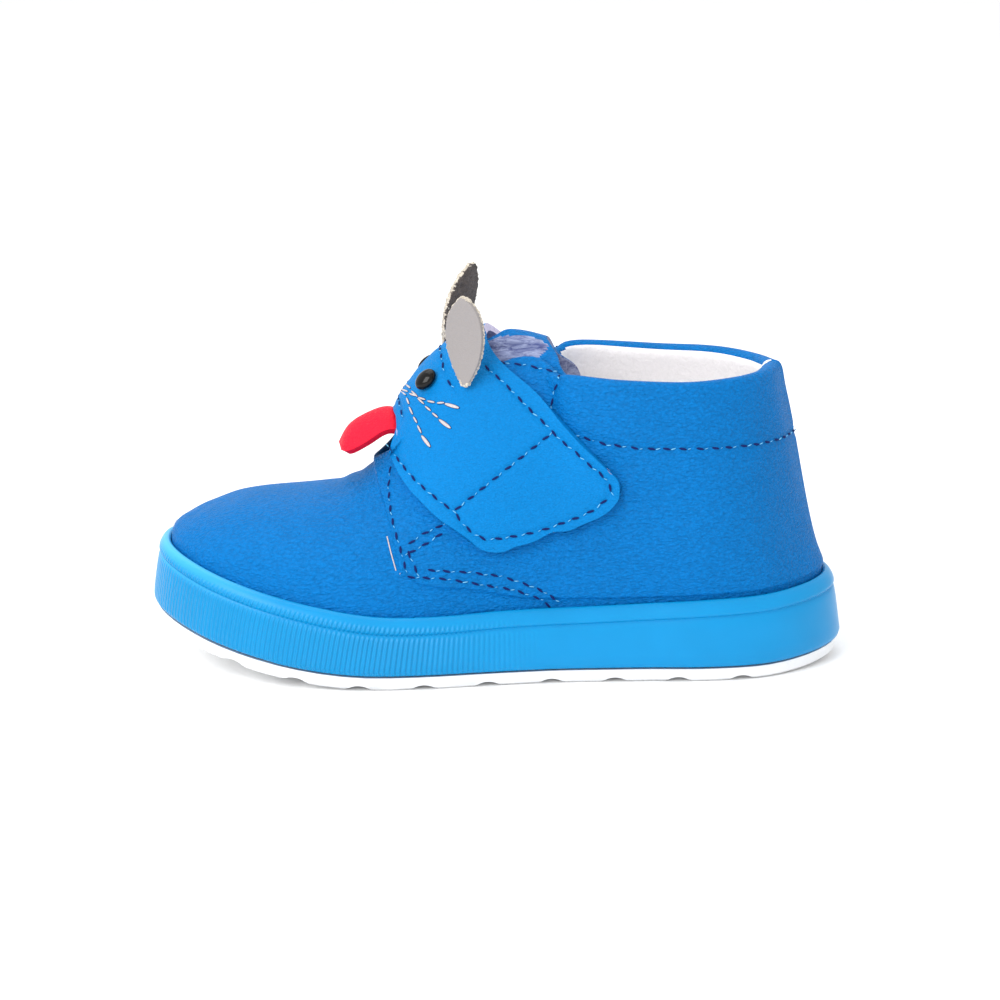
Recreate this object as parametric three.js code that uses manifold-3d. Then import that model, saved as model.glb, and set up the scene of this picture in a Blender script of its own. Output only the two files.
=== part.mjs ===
// A toddler's left ankle shoe with a wide strap over the instep and an animal's face on the strap.
// Millimetres. The toe points to -X, the outer side of the foot is -Y, up is +Z. The origin lies on the
// floor under the middle of the shoe.
import * as THREE from "three";
import { mergeVertices } from "three/addons/utils/BufferGeometryUtils.js";
import Module from "manifold-3d";

const wasm = await Module();
wasm.setup();

// Sizes of the last and the sole
const SOLE_LENGTH = 150;
const BALL_WIDTH = 66;
const INSTEP_HEIGHT = 72;
const COLLAR_HEIGHT = 64.5;
const INNER_RISE = 1.2;
const TOE_SPRING = 10;
const HEEL_LIFT = 1.4;
const GAP = 0.3;

// Sizes of the sole's layers
const OUTSOLE_THICKNESS = 2.9;
const OUTSOLE_INSET = 0.9;
const TREAD_DEPTH = 1.1;
const TREAD_PITCH = 13.5;
const TREAD_CUT_WIDTH = 6;
const WALL_HEIGHT = 11.4;
const WALL_FLARE = 1.3;
const GROOVE_DEPTH = 0.7;
const GROOVE_WIDTH = 1.0;
const LIP_HEIGHT = 3.5;
const CUP_WALL = 4.0;
const CUP_FLOOR = 4.6;
const HEEL_RAISE = 2.2;
const INSOLE_THICKNESS = 2.5;

// Sizes of the upper, the tongue and the strap
const WALL = 1.8;
const QUARTER_STEP = 1.0;
const COLLAR_PAD = 1.2;
const RIM_ROUND = 0.9;
const TONGUE_THICKNESS = 2.2;
const TONGUE_WIDTH = 38;
const TONGUE_BASE_WIDTH = 27;
const STRAP_THICKNESS = 1.8;
const STRAP_WIDTH = 30.8;
const STRAP_PLACE = 18;
const MOUTH_WIDTH = 18.5;
const MOUTH_DEPTH = 5;

// Sizes of the face
const EAR_LENGTH = 19.5;
const EAR_WIDTH = 9.2;
const EAR_THICKNESS = 1.4;
const EYE_LENGTH = 5.5;
const EYE_WIDTH = 4.4;
const EYE_HEIGHT = 2.1;
const EYE_SPREAD = 9;
const LICK_LENGTH = 19;
const LICK_WIDTH = 14;
const LICK_THICKNESS = 1.5;

// How finely the surfaces are divided
const HALF_RIBS = 42;
const RIB_ROWS = 13;

// A table: its column names in order, and then its rows.
function table(names, rows) {
  const columns = names.split(" ");
  return rows.map((row) => Object.fromEntries(columns.map((column, n) => [column, row[n]])));
}

// The outline of the sole from toe to heel: half widths as shares of half the ball width, before the
// two ends are rounded off by END_ROUND.
const END_ROUND = 0.8;
const OUTLINE = table("along outer inner", [
  [0.0, 1.09, 1.05],
  [0.05, 1.15, 1.14],
  [0.1, 1.18, 1.17],
  [0.18, 1.16, 1.13],
  [0.29, 1.1, 1.05],
  [0.4, 1.0, 0.92],
  [0.5, 0.895, 0.79],
  [0.6, 0.84, 0.735],
  [0.7, 0.86, 0.77],
  [0.8, 0.95, 0.9],
  [0.89, 1.01, 0.99],
  [0.95, 0.97, 0.96],
  [1.0, 0.88, 0.88],
]);

// The height of the side wall from toe to heel, as shares of WALL_HEIGHT.
const SIDE = table("along wall", [
  [0.0, 1.0],
  [0.1, 0.98],
  [0.22, 0.92],
  [0.29, 0.85],
  [0.36, 0.78],
  [0.43, 0.78],
  [0.5, 0.83],
  [0.6, 0.85],
  [0.7, 0.9],
  [0.83, 0.98],
  [1.0, 1.04],
]);

// The ribs of the upper. Each rib starts at the feather edge, at the share "foot" of the sole's length,
// and ends on the top line. "back" is the top's share of the sole's length and "wide" its share of half
// the ball width. Its height is "instep" of the instep height plus "collar" of the collar height.
// "rise" and "drop" are the pulls at the foot and at the top, as shares of the rib's height; "lean" and
// "spread" are their sideways pulls as shares of half the ball width. "turn" turns the pull at the top
// towards the toe, and "open" is how far up the rib the leather goes before the throat.
const RIBS = table("foot back wide instep collar rise lean spread drop turn open", [
  [0.0, 0.083, 0, 0.452, 0, 0.48, 0, 0.14, 0, 1, 1],
  [0.03, 0.113, 0, 0.475, 0, 0.52, 0, 0.26, 0, 0.7, 1],
  [0.09, 0.153, 0, 0.494, 0, 0.58, 0, 0.4, 0, 0.35, 1],
  [0.18, 0.207, 0, 0.504, 0, 0.62, 0.01, 0.5, 0, 0.1, 1],
  [0.27, 0.26, 0, 0.519, 0, 0.6, 0.01, 0.5, 0, 0, 1],
  [0.33, 0.297, 0, 0.553, 0, 0.56, 0.01, 0.48, 0, 0, 1],
  [0.37, 0.323, 0, 0.587, 0, 0.52, 0.01, 0.46, 0, 0, 1],
  [0.41, 0.349, 0, 0.643, 0, 0.48, 0.01, 0.43, 0, 0, 0.86],
  [0.45, 0.368, 0, 0.744, 0, 0.45, 0.01, 0.42, 0, 0, 0.8],
  [0.49, 0.395, 0, 0.83, 0, 0.42, 0.01, 0.42, 0, 0, 0.77],
  [0.53, 0.428, 0, 0.908, 0, 0.4, 0.01, 0.43, 0, 0, 0.76],
  [0.57, 0.473, 0, 0.961, 0, 0.38, 0.01, 0.44, 0, 0, 0.76],
  [0.61, 0.54, 0, 0.995, 0, 0.36, 0.02, 0.44, 0, 0, 0.77],
  [0.64, 0.567, 0.25, 0.955, 0, 0.34, 0.02, 0.25, 0.04, 0, 0.8],
  [0.67, 0.587, 0.46, 0, 1.005, 0.32, 0.02, 0.13, 0.12, 0, 0.95],
  [0.7, 0.62, 0.54, 0, 0.99, 0.3, 0.03, 0.08, 0.2, 0, 1],
  [0.76, 0.68, 0.595, 0, 0.98, 0.28, 0.04, 0.08, 0.26, 0, 1],
  [0.84, 0.767, 0.57, 0, 0.972, 0.25, 0.03, 0.1, 0.28, 0, 1],
  [0.9, 0.832, 0.465, 0, 0.977, 0.24, -0.02, 0.11, 0.28, 0, 1],
  [0.96, 0.88, 0.255, 0, 0.983, 0.23, -0.12, 0.12, 0.28, 0, 1],
  [1.0, 0.9, 0, 0, 0.99, 0.23, -0.15, 0.12, 0.28, 0, 1],
]);

// The front edge of the quarter stands on the rib at FACING. Its lower edge, "low", is a place on each
// rib and runs down to the sole, which it reaches at FACING_END.
const FACING = 0.37;
const FACING_END = 0.55;
const LOWER_EDGE = table("foot low", [
  [0.0, 0.2],
  [0.37, 0.2],
  [0.4, 0.13],
  [0.46, 0.09],
  [0.51, 0.05],
  [0.56, 0.025],
  [1.0, 0.025],
]);

// The free end of the strap across its width, front edge first: how far the end lies from the crest of
// the instep, as shares of STRAP_REACH.
const STRAP_REACH = 43;
const STRAP_ROOT_REACH = 24;
const STRAP_END = table("across reach", [
  [0.0, 0.64],
  [0.04, 0.7],
  [0.12, 0.765],
  [0.3, 0.84],
  [0.53, 0.93],
  [0.7, 0.98],
  [0.86, 1.0],
  [0.95, 0.975],
  [1.0, 0.9],
]);

// A smooth line through one column of a table, which does not overshoot its rows.
function follow(rows, key, column, at) {
  let n = 0;
  while (n < rows.length - 2 && at > rows[n + 1][key]) n += 1;
  const slope = (k) => {
    if (k < 0 || k > rows.length - 2) return null;
    return (rows[k + 1][column] - rows[k][column]) / (rows[k + 1][key] - rows[k][key]);
  };
  const tangent = (k) => {
    const before = slope(k - 1);
    const after = slope(k);
    if (before === null) return after;
    if (after === null) return before;
    return before * after <= 0 ? 0 : (2 * before * after) / (before + after);
  };
  const step = rows[n + 1][key] - rows[n][key];
  const t = THREE.MathUtils.clamp((at - rows[n][key]) / step, 0, 1);
  const rise = rows[n + 1][column] - rows[n][column];
  const bendIn = tangent(n) * step - rise;
  const bendOut = rise - tangent(n + 1) * step;
  return rows[n][column] + t * rise + t * (1 - t) * ((1 - t) * bendIn + t * bendOut);
}

// Angles round the outline: 0 at the toe, a quarter turn on the outer side, a half turn at the heel.
const FULL_TURN = 2 * Math.PI;
const shareOf = (angle) => (1 - Math.cos(angle)) / 2;
const sideOf = (angle) => (Math.sin(angle) >= 0 ? -1 : 1);
const alongX = (x) => x / SOLE_LENGTH + 0.5;

function edgePoint(angle) {
  const share = shareOf(angle);
  const side = sideOf(angle);
  const column = side < 0 ? "outer" : "inner";
  const half = (follow(OUTLINE, "along", column, share) * BALL_WIDTH) / 2;
  const round = Math.abs(Math.sin(angle)) ** END_ROUND;
  return new THREE.Vector2((share - 0.5) * SOLE_LENGTH, side * half * round);
}

const SMALL_ANGLE = 0.012;

function edgeNormal(angle) {
  const run = edgePoint(angle + SMALL_ANGLE).sub(edgePoint(angle - SMALL_ANGLE));
  return new THREE.Vector2(run.y, -run.x).normalize();
}

function outline(angle, inset) {
  return edgePoint(angle).addScaledVector(edgeNormal(angle), -inset);
}

// Heights of the sole at a place along its length
const SPRING_START = 0.34;
const SPRING_CURVE = 1.8;
const LIFT_START = 0.87;

function treadHeight(x) {
  const share = alongX(x);
  const toe = Math.max(0, (SPRING_START - share) / SPRING_START);
  const heel = Math.max(0, (share - LIFT_START) / (1 - LIFT_START));
  return TOE_SPRING * toe ** SPRING_CURVE + HEEL_LIFT * heel ** SPRING_CURVE;
}

function cupBottom(x) {
  return treadHeight(x) + OUTSOLE_THICKNESS + GAP;
}

function grooveHeight(x) {
  return treadHeight(x) + OUTSOLE_THICKNESS + WALL_HEIGHT * follow(SIDE, "along", "wall", alongX(x));
}

function lipHeight(x) {
  return grooveHeight(x) + LIP_HEIGHT;
}

function cupFloor(x) {
  return cupBottom(x) + CUP_FLOOR + HEEL_RAISE * THREE.MathUtils.smoothstep(alongX(x), 0.4, 0.8);
}

// Angles evenly spread over both halves, with the same places along the length on each side
function evenAngles(half) {
  return Array.from({ length: 2 * half }, (_, n) => (Math.PI * n) / half);
}

// Closed bodies from rows of points
function geometryOf(points, faces) {
  const geometry = new THREE.BufferGeometry();
  const flat = points.flatMap((p) => p.toArray());
  geometry.setAttribute("position", new THREE.Float32BufferAttribute(flat, 3));
  geometry.setIndex(faces.flat());
  const merged = mergeVertices(geometry, 1e-4);
  const index = merged.index.array;
  const kept = [];
  for (let n = 0; n < index.length; n += 3) {
    const [a, b, c] = index.slice(n, n + 3);
    if (a !== b && b !== c && c !== a) kept.push(a, b, c);
  }
  merged.setIndex(kept);
  merged.computeVertexNormals();
  return merged;
}

// Rings stacked from the middle of the bottom, up the outside and down the inside. Both ends are closed
// by bars across the sole, from the outer side to the inner side.
function ringSolid(rings) {
  const round = rings[0].length;
  const half = round / 2;
  const faces = [];
  for (let r = 0; r + 1 < rings.length; r += 1) {
    for (let n = 0; n < round; n += 1) {
      const next = (n + 1) % round;
      const [a, b] = [r * round + n, r * round + next];
      const [c, d] = [(r + 1) * round + next, (r + 1) * round + n];
      faces.push([a, b, c], [a, c, d]);
    }
  }
  const last = (rings.length - 1) * round;
  for (let n = 0; n < half; n += 1) {
    const [a, b] = [n, n + 1];
    const [c, d] = [(round - n - 1) % round, (round - n) % round];
    faces.push([a, c, b], [a, d, c]);
    faces.push([last + a, last + b, last + c], [last + a, last + c, last + d]);
  }
  return geometryOf(rings.flat(), faces);
}

function ring(angles, inset, height) {
  return angles.map((angle) => {
    const p = outline(angle, inset);
    return new THREE.Vector3(p.x, p.y, height(p.x));
  });
}

// A sheet of even thickness from a grid of points: the thickness is added on the side that "up" names.
function gridNormal(grid, r, c) {
  const rows = grid.length - 1;
  const cols = grid[0].length - 1;
  const across = grid[r][Math.min(c + 1, cols)].clone().sub(grid[r][Math.max(c - 1, 0)]);
  const down = grid[Math.min(r + 1, rows)][c].clone().sub(grid[Math.max(r - 1, 0)][c]);
  return across.cross(down).normalize();
}

function sheetSolid(grid, thickness) {
  const rows = grid.length;
  const cols = grid[0].length;
  const upper = grid.map((line, r) =>
    line.map((p, c) => p.clone().addScaledVector(gridNormal(grid, r, c), thickness)),
  );
  const points = [...grid.flat(), ...upper.flat()];
  const low = (r, c) => r * cols + c;
  const high = (r, c) => rows * cols + low(r, c);
  const faces = [];
  const quad = (a, b, c, d) => faces.push([a, b, c], [a, c, d]);
  for (let r = 0; r + 1 < rows; r += 1) {
    for (let c = 0; c + 1 < cols; c += 1) {
      quad(low(r, c), low(r + 1, c), low(r + 1, c + 1), low(r, c + 1));
      quad(high(r, c), high(r, c + 1), high(r + 1, c + 1), high(r + 1, c));
    }
  }
  const wall = (a, b, upA, upB) => quad(a, b, upB, upA);
  for (let c = 0; c + 1 < cols; c += 1) {
    wall(low(0, c), low(0, c + 1), high(0, c), high(0, c + 1));
    wall(low(rows - 1, c + 1), low(rows - 1, c), high(rows - 1, c + 1), high(rows - 1, c));
  }
  for (let r = 0; r + 1 < rows; r += 1) {
    wall(low(r + 1, 0), low(r, 0), high(r + 1, 0), high(r, 0));
    wall(low(r, cols - 1), low(r + 1, cols - 1), high(r, cols - 1), high(r + 1, cols - 1));
  }
  return outward(geometryOf(points, faces));
}

// The signed volume says which way the faces point, and they are turned outward.
function outward(geometry) {
  const p = geometry.attributes.position;
  const at = (n) => new THREE.Vector3().fromBufferAttribute(p, n);
  const index = [...geometry.index.array];
  let volume = 0;
  for (let n = 0; n < index.length; n += 3) {
    volume += at(index[n]).dot(at(index[n + 1]).cross(at(index[n + 2])));
  }
  if (volume > 0) return geometry;
  const turned = [];
  for (let n = 0; n < index.length; n += 3) turned.push(index[n], index[n + 2], index[n + 1]);
  geometry.setIndex(turned);
  geometry.computeVertexNormals();
  return geometry;
}

function solidOf(geometry) {
  const plain = new THREE.BufferGeometry().setAttribute("position", geometry.attributes.position);
  plain.setIndex(geometry.index ?? [...Array(geometry.attributes.position.count).keys()]);
  const merged = mergeVertices(plain, 1e-4);
  const mesh = { numProp: 3, vertProperties: merged.attributes.position.array };
  return new wasm.Manifold(new wasm.Mesh({ ...mesh, triVerts: new Uint32Array(merged.index.array) }));
}

function geometryFrom(solid) {
  const mesh = solid.getMesh();
  const geometry = new THREE.BufferGeometry();
  geometry.setAttribute("position", new THREE.BufferAttribute(mesh.vertProperties, 3));
  geometry.setIndex(new THREE.BufferAttribute(mesh.triVerts, 1));
  geometry.computeVertexNormals();
  return geometry;
}

// Outsole: a thin layer with grooves cut across its tread
const TREAD_FIRST = 19;
const EDGE_ROUND = 0.6;

function makeOutsole() {
  const angles = evenAngles(HALF_RIBS);
  const top = (x) => treadHeight(x) + OUTSOLE_THICKNESS;
  const body = ringSolid([
    ring(angles, OUTSOLE_INSET + 2 * EDGE_ROUND, treadHeight),
    ring(angles, OUTSOLE_INSET + EDGE_ROUND / 2, (x) => treadHeight(x) + EDGE_ROUND),
    ring(angles, OUTSOLE_INSET, top),
    ring(angles, CUP_WALL, top),
  ]);
  const radius = TREAD_DEPTH / 2 + TREAD_CUT_WIDTH ** 2 / (8 * TREAD_DEPTH);
  const half = Math.asin(TREAD_CUT_WIDTH / 2 / radius);
  const profile = new THREE.Shape();
  profile.moveTo(-TREAD_CUT_WIDTH / 2, -TREAD_DEPTH);
  profile.lineTo(-TREAD_CUT_WIDTH / 2, 0);
  profile.absarc(0, TREAD_DEPTH - radius, radius, Math.PI / 2 + half, Math.PI / 2 - half, true);
  profile.lineTo(TREAD_CUT_WIDTH / 2, -TREAD_DEPTH);
  const across = { depth: 2 * BALL_WIDTH, bevelEnabled: false, curveSegments: 4 };
  const bar = new THREE.ExtrudeGeometry(profile, across);
  bar.rotateX(Math.PI / 2);
  bar.translate(0, BALL_WIDTH, 0);
  let solid = solidOf(body);
  const last = SOLE_LENGTH / 2 - TREAD_PITCH;
  for (let x = TREAD_FIRST - SOLE_LENGTH / 2; x < last; x += TREAD_PITCH) {
    const slope = (treadHeight(x + 1) - treadHeight(x - 1)) / 2;
    const cut = bar.clone().rotateY(-Math.atan(slope));
    cut.translate(x, 0, treadHeight(x));
    solid = solid.subtract(solidOf(cut));
  }
  return geometryFrom(solid);
}

// Cup: a side wall that leans in to a groove, a rounded lip above it, and a floor inside
function makeCup() {
  const angles = evenAngles(HALF_RIBS);
  const wallTop = (x) => grooveHeight(x) - GROOVE_WIDTH / 2;
  const lipStart = (x) => grooveHeight(x) + GROOVE_WIDTH / 2;
  const lipRise = LIP_HEIGHT - GROOVE_WIDTH / 2;
  return ringSolid([
    ring(angles, 3 * EDGE_ROUND, cupBottom),
    ring(angles, EDGE_ROUND / 2, (x) => cupBottom(x) + EDGE_ROUND / 2),
    ring(angles, 0, (x) => cupBottom(x) + 2 * EDGE_ROUND),
    ring(angles, WALL_FLARE, wallTop),
    ring(angles, WALL_FLARE + GROOVE_DEPTH, grooveHeight),
    ring(angles, WALL_FLARE, lipStart),
    ring(angles, WALL_FLARE + lipRise * 0.18, (x) => lipStart(x) + lipRise * 0.45),
    ring(angles, WALL_FLARE + lipRise * 0.42, (x) => lipStart(x) + lipRise * 0.8),
    ring(angles, CUP_WALL - EDGE_ROUND, lipHeight),
    ring(angles, CUP_WALL, (x) => lipHeight(x) - EDGE_ROUND / 2),
    ring(angles, CUP_WALL, cupFloor),
  ]);
}

const FEATHER_INSET = CUP_WALL + GAP;
const footHeight = (x) => cupFloor(x) + GAP;

function makeInsole() {
  const angles = evenAngles(HALF_RIBS / 2);
  const inset = FEATHER_INSET + WALL + GAP;
  return ringSolid([
    ring(angles, inset, footHeight),
    ring(angles, inset, (x) => footHeight(x) + INSOLE_THICKNESS - EDGE_ROUND),
    ring(angles, inset + EDGE_ROUND, (x) => footHeight(x) + INSOLE_THICKNESS),
  ]);
}

// One rib of the upper's form, from the lip of the cup to the top line
const HALF_BALL = BALL_WIDTH / 2;

function topPoint(angle) {
  const share = shareOf(angle);
  const column = (name) => follow(RIBS, "foot", name, share);
  const height = column("instep") * INSTEP_HEIGHT + column("collar") * COLLAR_HEIGHT;
  const x = (column("back") - 0.5) * SOLE_LENGTH;
  const begun = THREE.MathUtils.smoothstep(share, 0.62, 0.72);
  const ended = THREE.MathUtils.smoothstep(share, 0.85, 1);
  const rise = sideOf(angle) > 0 ? INNER_RISE * (begun - ended) : 0;
  return new THREE.Vector3(x, sideOf(angle) * column("wide") * HALF_BALL, height + rise);
}

function ridgeSlope(angle) {
  const share = shareOf(angle);
  const here = topPoint(angle);
  const next = topPoint(Math.acos(1 - 2 * Math.min(share + 0.004, 1)));
  return (next.z - here.z) / Math.max(next.x - here.x, 1e-3);
}

function rib(angle) {
  const column = (name) => follow(RIBS, "foot", name, shareOf(angle));
  const foot = outline(angle, FEATHER_INSET);
  const out = edgeNormal(angle);
  const lip = new THREE.Vector3(foot.x, foot.y, lipHeight(foot.x) + GAP);
  const top = topPoint(angle);
  const height = top.z - lip.z;
  const lean = column("lean") * HALF_BALL;
  const low = lip.clone().add(new THREE.Vector3(out.x * lean, out.y * lean, column("rise") * height));
  const spread = column("spread") * HALF_BALL;
  const turn = (column("turn") * Math.PI) / 2;
  const forward = -Math.sin(turn) * spread;
  const heelward = column("wide") > 0 ? out.x * spread : 0;
  const sideways = column("wide") > 0 ? out.y * spread : sideOf(angle) * Math.cos(turn) * spread;
  const pull = new THREE.Vector3(forward + heelward, sideways, forward * ridgeSlope(angle));
  const high = top.clone().add(pull);
  high.z -= column("drop") * height;
  return new THREE.CubicBezierCurve3(lip, low, high, top);
}

// A point of the form: "up" runs from -1 at the cup's floor to 0 at its lip and 1 at the top line.
function formPoint(angle, up) {
  if (up >= 0) return rib(angle).getPoint(up);
  const foot = outline(angle, FEATHER_INSET);
  return new THREE.Vector3(
    foot.x,
    foot.y,
    THREE.MathUtils.lerp(lipHeight(foot.x) + GAP, footHeight(foot.x), -up),
  );
}

const ON_RIDGE = 0.001;

function formNormal(angle, up) {
  const onRidge = up > 1 - ON_RIDGE && follow(RIBS, "foot", "wide", shareOf(angle)) < ON_RIDGE;
  if (onRidge && shareOf(angle) < 0.99) return new THREE.Vector3(-ridgeSlope(angle), 0, 1).normalize();
  const round = formPoint(angle + SMALL_ANGLE, up).sub(formPoint(angle - SMALL_ANGLE, up));
  const above = formPoint(angle, Math.min(up + SMALL_ANGLE, 1));
  const rise = above.sub(formPoint(angle, Math.max(up - SMALL_ANGLE, -1)));
  return round.cross(rise).normalize();
}

function offsetPoint(angle, up, offset) {
  return formPoint(angle, up).addScaledVector(formNormal(angle, up), offset);
}

// The ribs' angles, with two ribs close together at the quarter's front edge
const STEP_WIDTH = 0.004;

function ribAngles() {
  const shares = evenAngles(HALF_RIBS)
    .slice(0, HALF_RIBS + 1)
    .map(shareOf)
    .filter((share) => Math.abs(share - FACING) > 2 * STEP_WIDTH);
  shares.push(FACING, FACING + STEP_WIDTH);
  shares.sort((a, b) => a - b);
  const outer = shares.map((share) => Math.acos(1 - 2 * share));
  const inner = outer.slice(1, -1).reverse();
  return [...outer, ...inner.map((angle) => FULL_TURN - angle)];
}

// The rows of one rib: floor, lip, two rows at the quarter's lower edge, then evenly to the top.
function rowsOf(angle) {
  const share = shareOf(angle);
  const low = follow(LOWER_EDGE, "foot", "low", share);
  const open = follow(RIBS, "foot", "open", share);
  const first = low + 3 * STEP_WIDTH;
  const rest = RIB_ROWS - 3;
  const rows = [-1, 0, low];
  for (let n = 0; n <= rest; n += 1) rows.push(first + ((open - first) * n) / rest);
  return rows;
}

function stepAt(angle, row) {
  const share = shareOf(angle);
  if (share <= FACING + STEP_WIDTH / 2 || row < 2) return 0;
  if (row > 2) return QUARTER_STEP;
  return share > FACING_END ? QUARTER_STEP / 2 : 0;
}

function padAt(angle, up) {
  const rear = THREE.MathUtils.smoothstep(shareOf(angle), 0.68, 0.78);
  return COLLAR_PAD * rear * THREE.MathUtils.smoothstep(up, 0.55, 0.8);
}

function makeUpper() {
  const angles = ribAngles();
  const count = angles.length;
  const outer = angles.map((angle) =>
    rowsOf(angle).map((up, row) => offsetPoint(angle, up, stepAt(angle, row))),
  );
  const inner = angles.map((angle) =>
    rowsOf(angle).map((up) => offsetPoint(angle, up, -WALL - padAt(angle, up))),
  );
  const rows = outer[0].length;
  const rim = angles.map((angle, n) => {
    const [a, b] = [outer[n][rows - 1], inner[n][rows - 1]];
    const below = outer[n][rows - 2];
    const rise = a.clone().sub(below).normalize().multiplyScalar(RIM_ROUND);
    return a.clone().add(b).multiplyScalar(0.5).add(rise);
  });
  const isOpen = (angle) => shareOf(angle) > FACING + STEP_WIDTH / 2;
  const points = [...outer.flat(), ...inner.flat(), ...rim];
  const out = (n, r) => n * rows + r;
  const inn = (n, r) => count * rows + n * rows + r;
  const mid = (n) => 2 * count * rows + n;
  const faces = [];
  const quad = (a, b, c, d) => faces.push([a, b, c], [a, c, d]);
  for (let n = 0; n < count; n += 1) {
    const m = (n + 1) % count;
    for (let r = 0; r + 1 < rows; r += 1) {
      quad(out(n, r), out(m, r), out(m, r + 1), out(n, r + 1));
      quad(inn(n, r), inn(n, r + 1), inn(m, r + 1), inn(m, r));
    }
    quad(out(n, 0), inn(n, 0), inn(m, 0), out(m, 0));
    const top = rows - 1;
    if (isOpen(angles[n]) && isOpen(angles[m])) {
      quad(out(n, top), out(m, top), mid(m), mid(n));
      quad(mid(n), mid(m), inn(m, top), inn(n, top));
    } else if (isOpen(angles[m])) {
      faces.push([out(n, top), out(m, top), mid(m)], [out(n, top), mid(m), inn(n, top)]);
      faces.push([mid(m), inn(m, top), inn(n, top)]);
    } else if (isOpen(angles[n])) {
      faces.push([out(n, top), out(m, top), mid(n)], [mid(n), out(m, top), inn(m, top)]);
      faces.push([mid(n), inn(m, top), inn(n, top)]);
    }
  }
  return geometryOf(points, faces);
}

// A net over the instep, for what lies over or under the leather there. "place" runs from the front to
// the back of the strap along the instep's slope, and "arc" is the way from the crest down the side,
// outer side positive, both in millimetres.
const NET_SLOPE = Math.PI / 4;
const NET_AXIS = new THREE.Vector3(Math.cos(NET_SLOPE), 0, Math.sin(NET_SLOPE));
const NET_CREST = new THREE.Vector3(-Math.sin(NET_SLOPE), 0, Math.cos(NET_SLOPE));
const NET_CORE = 12;
const NET_FIRST = 6;
const NET_LAST = 57;
const NET_STEP = 1.5;
const NET_TURN = 1.85;

function formMesh(offset) {
  const angles = evenAngles(HALF_RIBS);
  const rows = Array.from({ length: RIB_ROWS + 1 }, (_, n) => n / RIB_ROWS);
  const points = angles.flatMap((angle) => rows.map((up) => offsetPoint(angle, up, offset)));
  const faces = [];
  angles.forEach((_, n) => {
    const m = (n + 1) % angles.length;
    for (let r = 0; r < RIB_ROWS; r += 1) {
      const [a, b] = [n * rows.length + r, m * rows.length + r];
      faces.push([a, b, b + 1], [a, b + 1, a + 1]);
    }
  });
  return new THREE.Mesh(geometryOf(points, faces), new THREE.MeshBasicMaterial({ side: THREE.DoubleSide }));
}

function makeNet(offset) {
  const mesh = formMesh(offset);
  const caster = new THREE.Raycaster();
  const lines = [];
  for (let place = NET_FIRST; place <= NET_LAST; place += NET_STEP) {
    const core = NET_AXIS.clone().multiplyScalar(place).addScaledVector(NET_CREST, NET_CORE);
    const line = [];
    for (let turn = -NET_TURN; turn <= NET_TURN; turn += NET_TURN / 36) {
      const way = NET_CREST.clone().multiplyScalar(Math.cos(turn));
      way.y = -Math.sin(turn);
      caster.set(core, way.normalize());
      const hit = caster.intersectObject(mesh)[0];
      if (hit) line.push(hit.point);
    }
    lines.push(line);
  }
  return lines.map(measuredLine);
}

// Gives each point of a line its arc, counted from the crest.
function measuredLine(line) {
  const arcs = [0];
  for (let n = 1; n < line.length; n += 1) arcs.push(arcs[n - 1] + line[n].distanceTo(line[n - 1]));
  const crest = line.findIndex((p) => p.y <= 0);
  const before = line[crest - 1];
  const share = before.y / (before.y - line[crest].y);
  const zero = THREE.MathUtils.lerp(arcs[crest - 1], arcs[crest], share);
  return line.map((point, n) => ({ point, arc: arcs[n] - zero }));
}

function pointOnLine(line, arc) {
  let n = 0;
  while (n < line.length - 2 && line[n + 1].arc < arc) n += 1;
  const share = (arc - line[n].arc) / (line[n + 1].arc - line[n].arc);
  return line[n].point.clone().lerp(line[n + 1].point, THREE.MathUtils.clamp(share, 0, 1));
}

function pointOnNet(net, place, arc) {
  const at = THREE.MathUtils.clamp((place - NET_FIRST) / NET_STEP, 0, net.length - 1.001);
  const n = Math.floor(at);
  return pointOnLine(net[n], arc).lerp(pointOnLine(net[n + 1], arc), at - n);
}

// The arc on the outer or inner side at which the net has come down by "reach" from the crest.
function arcAtReach(net, place, reach, side) {
  const depth = (arc) => -pointOnNet(net, place, side * arc).dot(NET_CREST);
  const crest = depth(0);
  let arc = 0;
  while (arc < 70 && depth(arc) - crest < reach) arc += 0.5;
  return side * arc;
}

// Tongue: a lined flap under the quarters, open to the foot below
const TONGUE_FRONT = 9;
const TONGUE_BACK = 54.4;
const TONGUE_ROWS = 15;
const TONGUE_COLUMNS = 12;
const TONGUE_WING = 3;
const TONGUE_FLARE = 3.4;
const TONGUE_FLARE_WIDTH = 8;
const TONGUE_TUCK = 0.12;
const TONGUE_FREE_FROM = 0.6;

function makeTongue() {
  const net = makeNet(-WALL - 2 * GAP - TONGUE_THICKNESS);
  const grid = [];
  for (let r = 0; r <= TONGUE_ROWS; r += 1) {
    const share = r / TONGUE_ROWS;
    const width = THREE.MathUtils.lerp(TONGUE_BASE_WIDTH, TONGUE_WIDTH, share);
    const free = THREE.MathUtils.smoothstep(share, TONGUE_FREE_FROM, 1);
    const line = [];
    for (let c = 0; c <= TONGUE_COLUMNS; c += 1) {
      const across = (2 * c) / TONGUE_COLUMNS - 1;
      const wing = TONGUE_WING * (across ** 2 - across ** 6);
      const place = THREE.MathUtils.lerp(TONGUE_FRONT, TONGUE_BACK + wing, share);
      const arc = (across * width) / 2;
      const middle = 1 - THREE.MathUtils.smoothstep(Math.abs(arc), 0, TONGUE_FLARE_WIDTH);
      const point = pointOnNet(net, place, arc);
      point.addScaledVector(NET_CREST, TONGUE_FLARE * middle * free);
      point.y *= 1 - TONGUE_TUCK * free * THREE.MathUtils.smoothstep(Math.abs(arc), 5, 11);
      line.push(point);
    }
    grid.push(line);
  }
  return sheetSolid(grid, TONGUE_THICKNESS);
}

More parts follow.
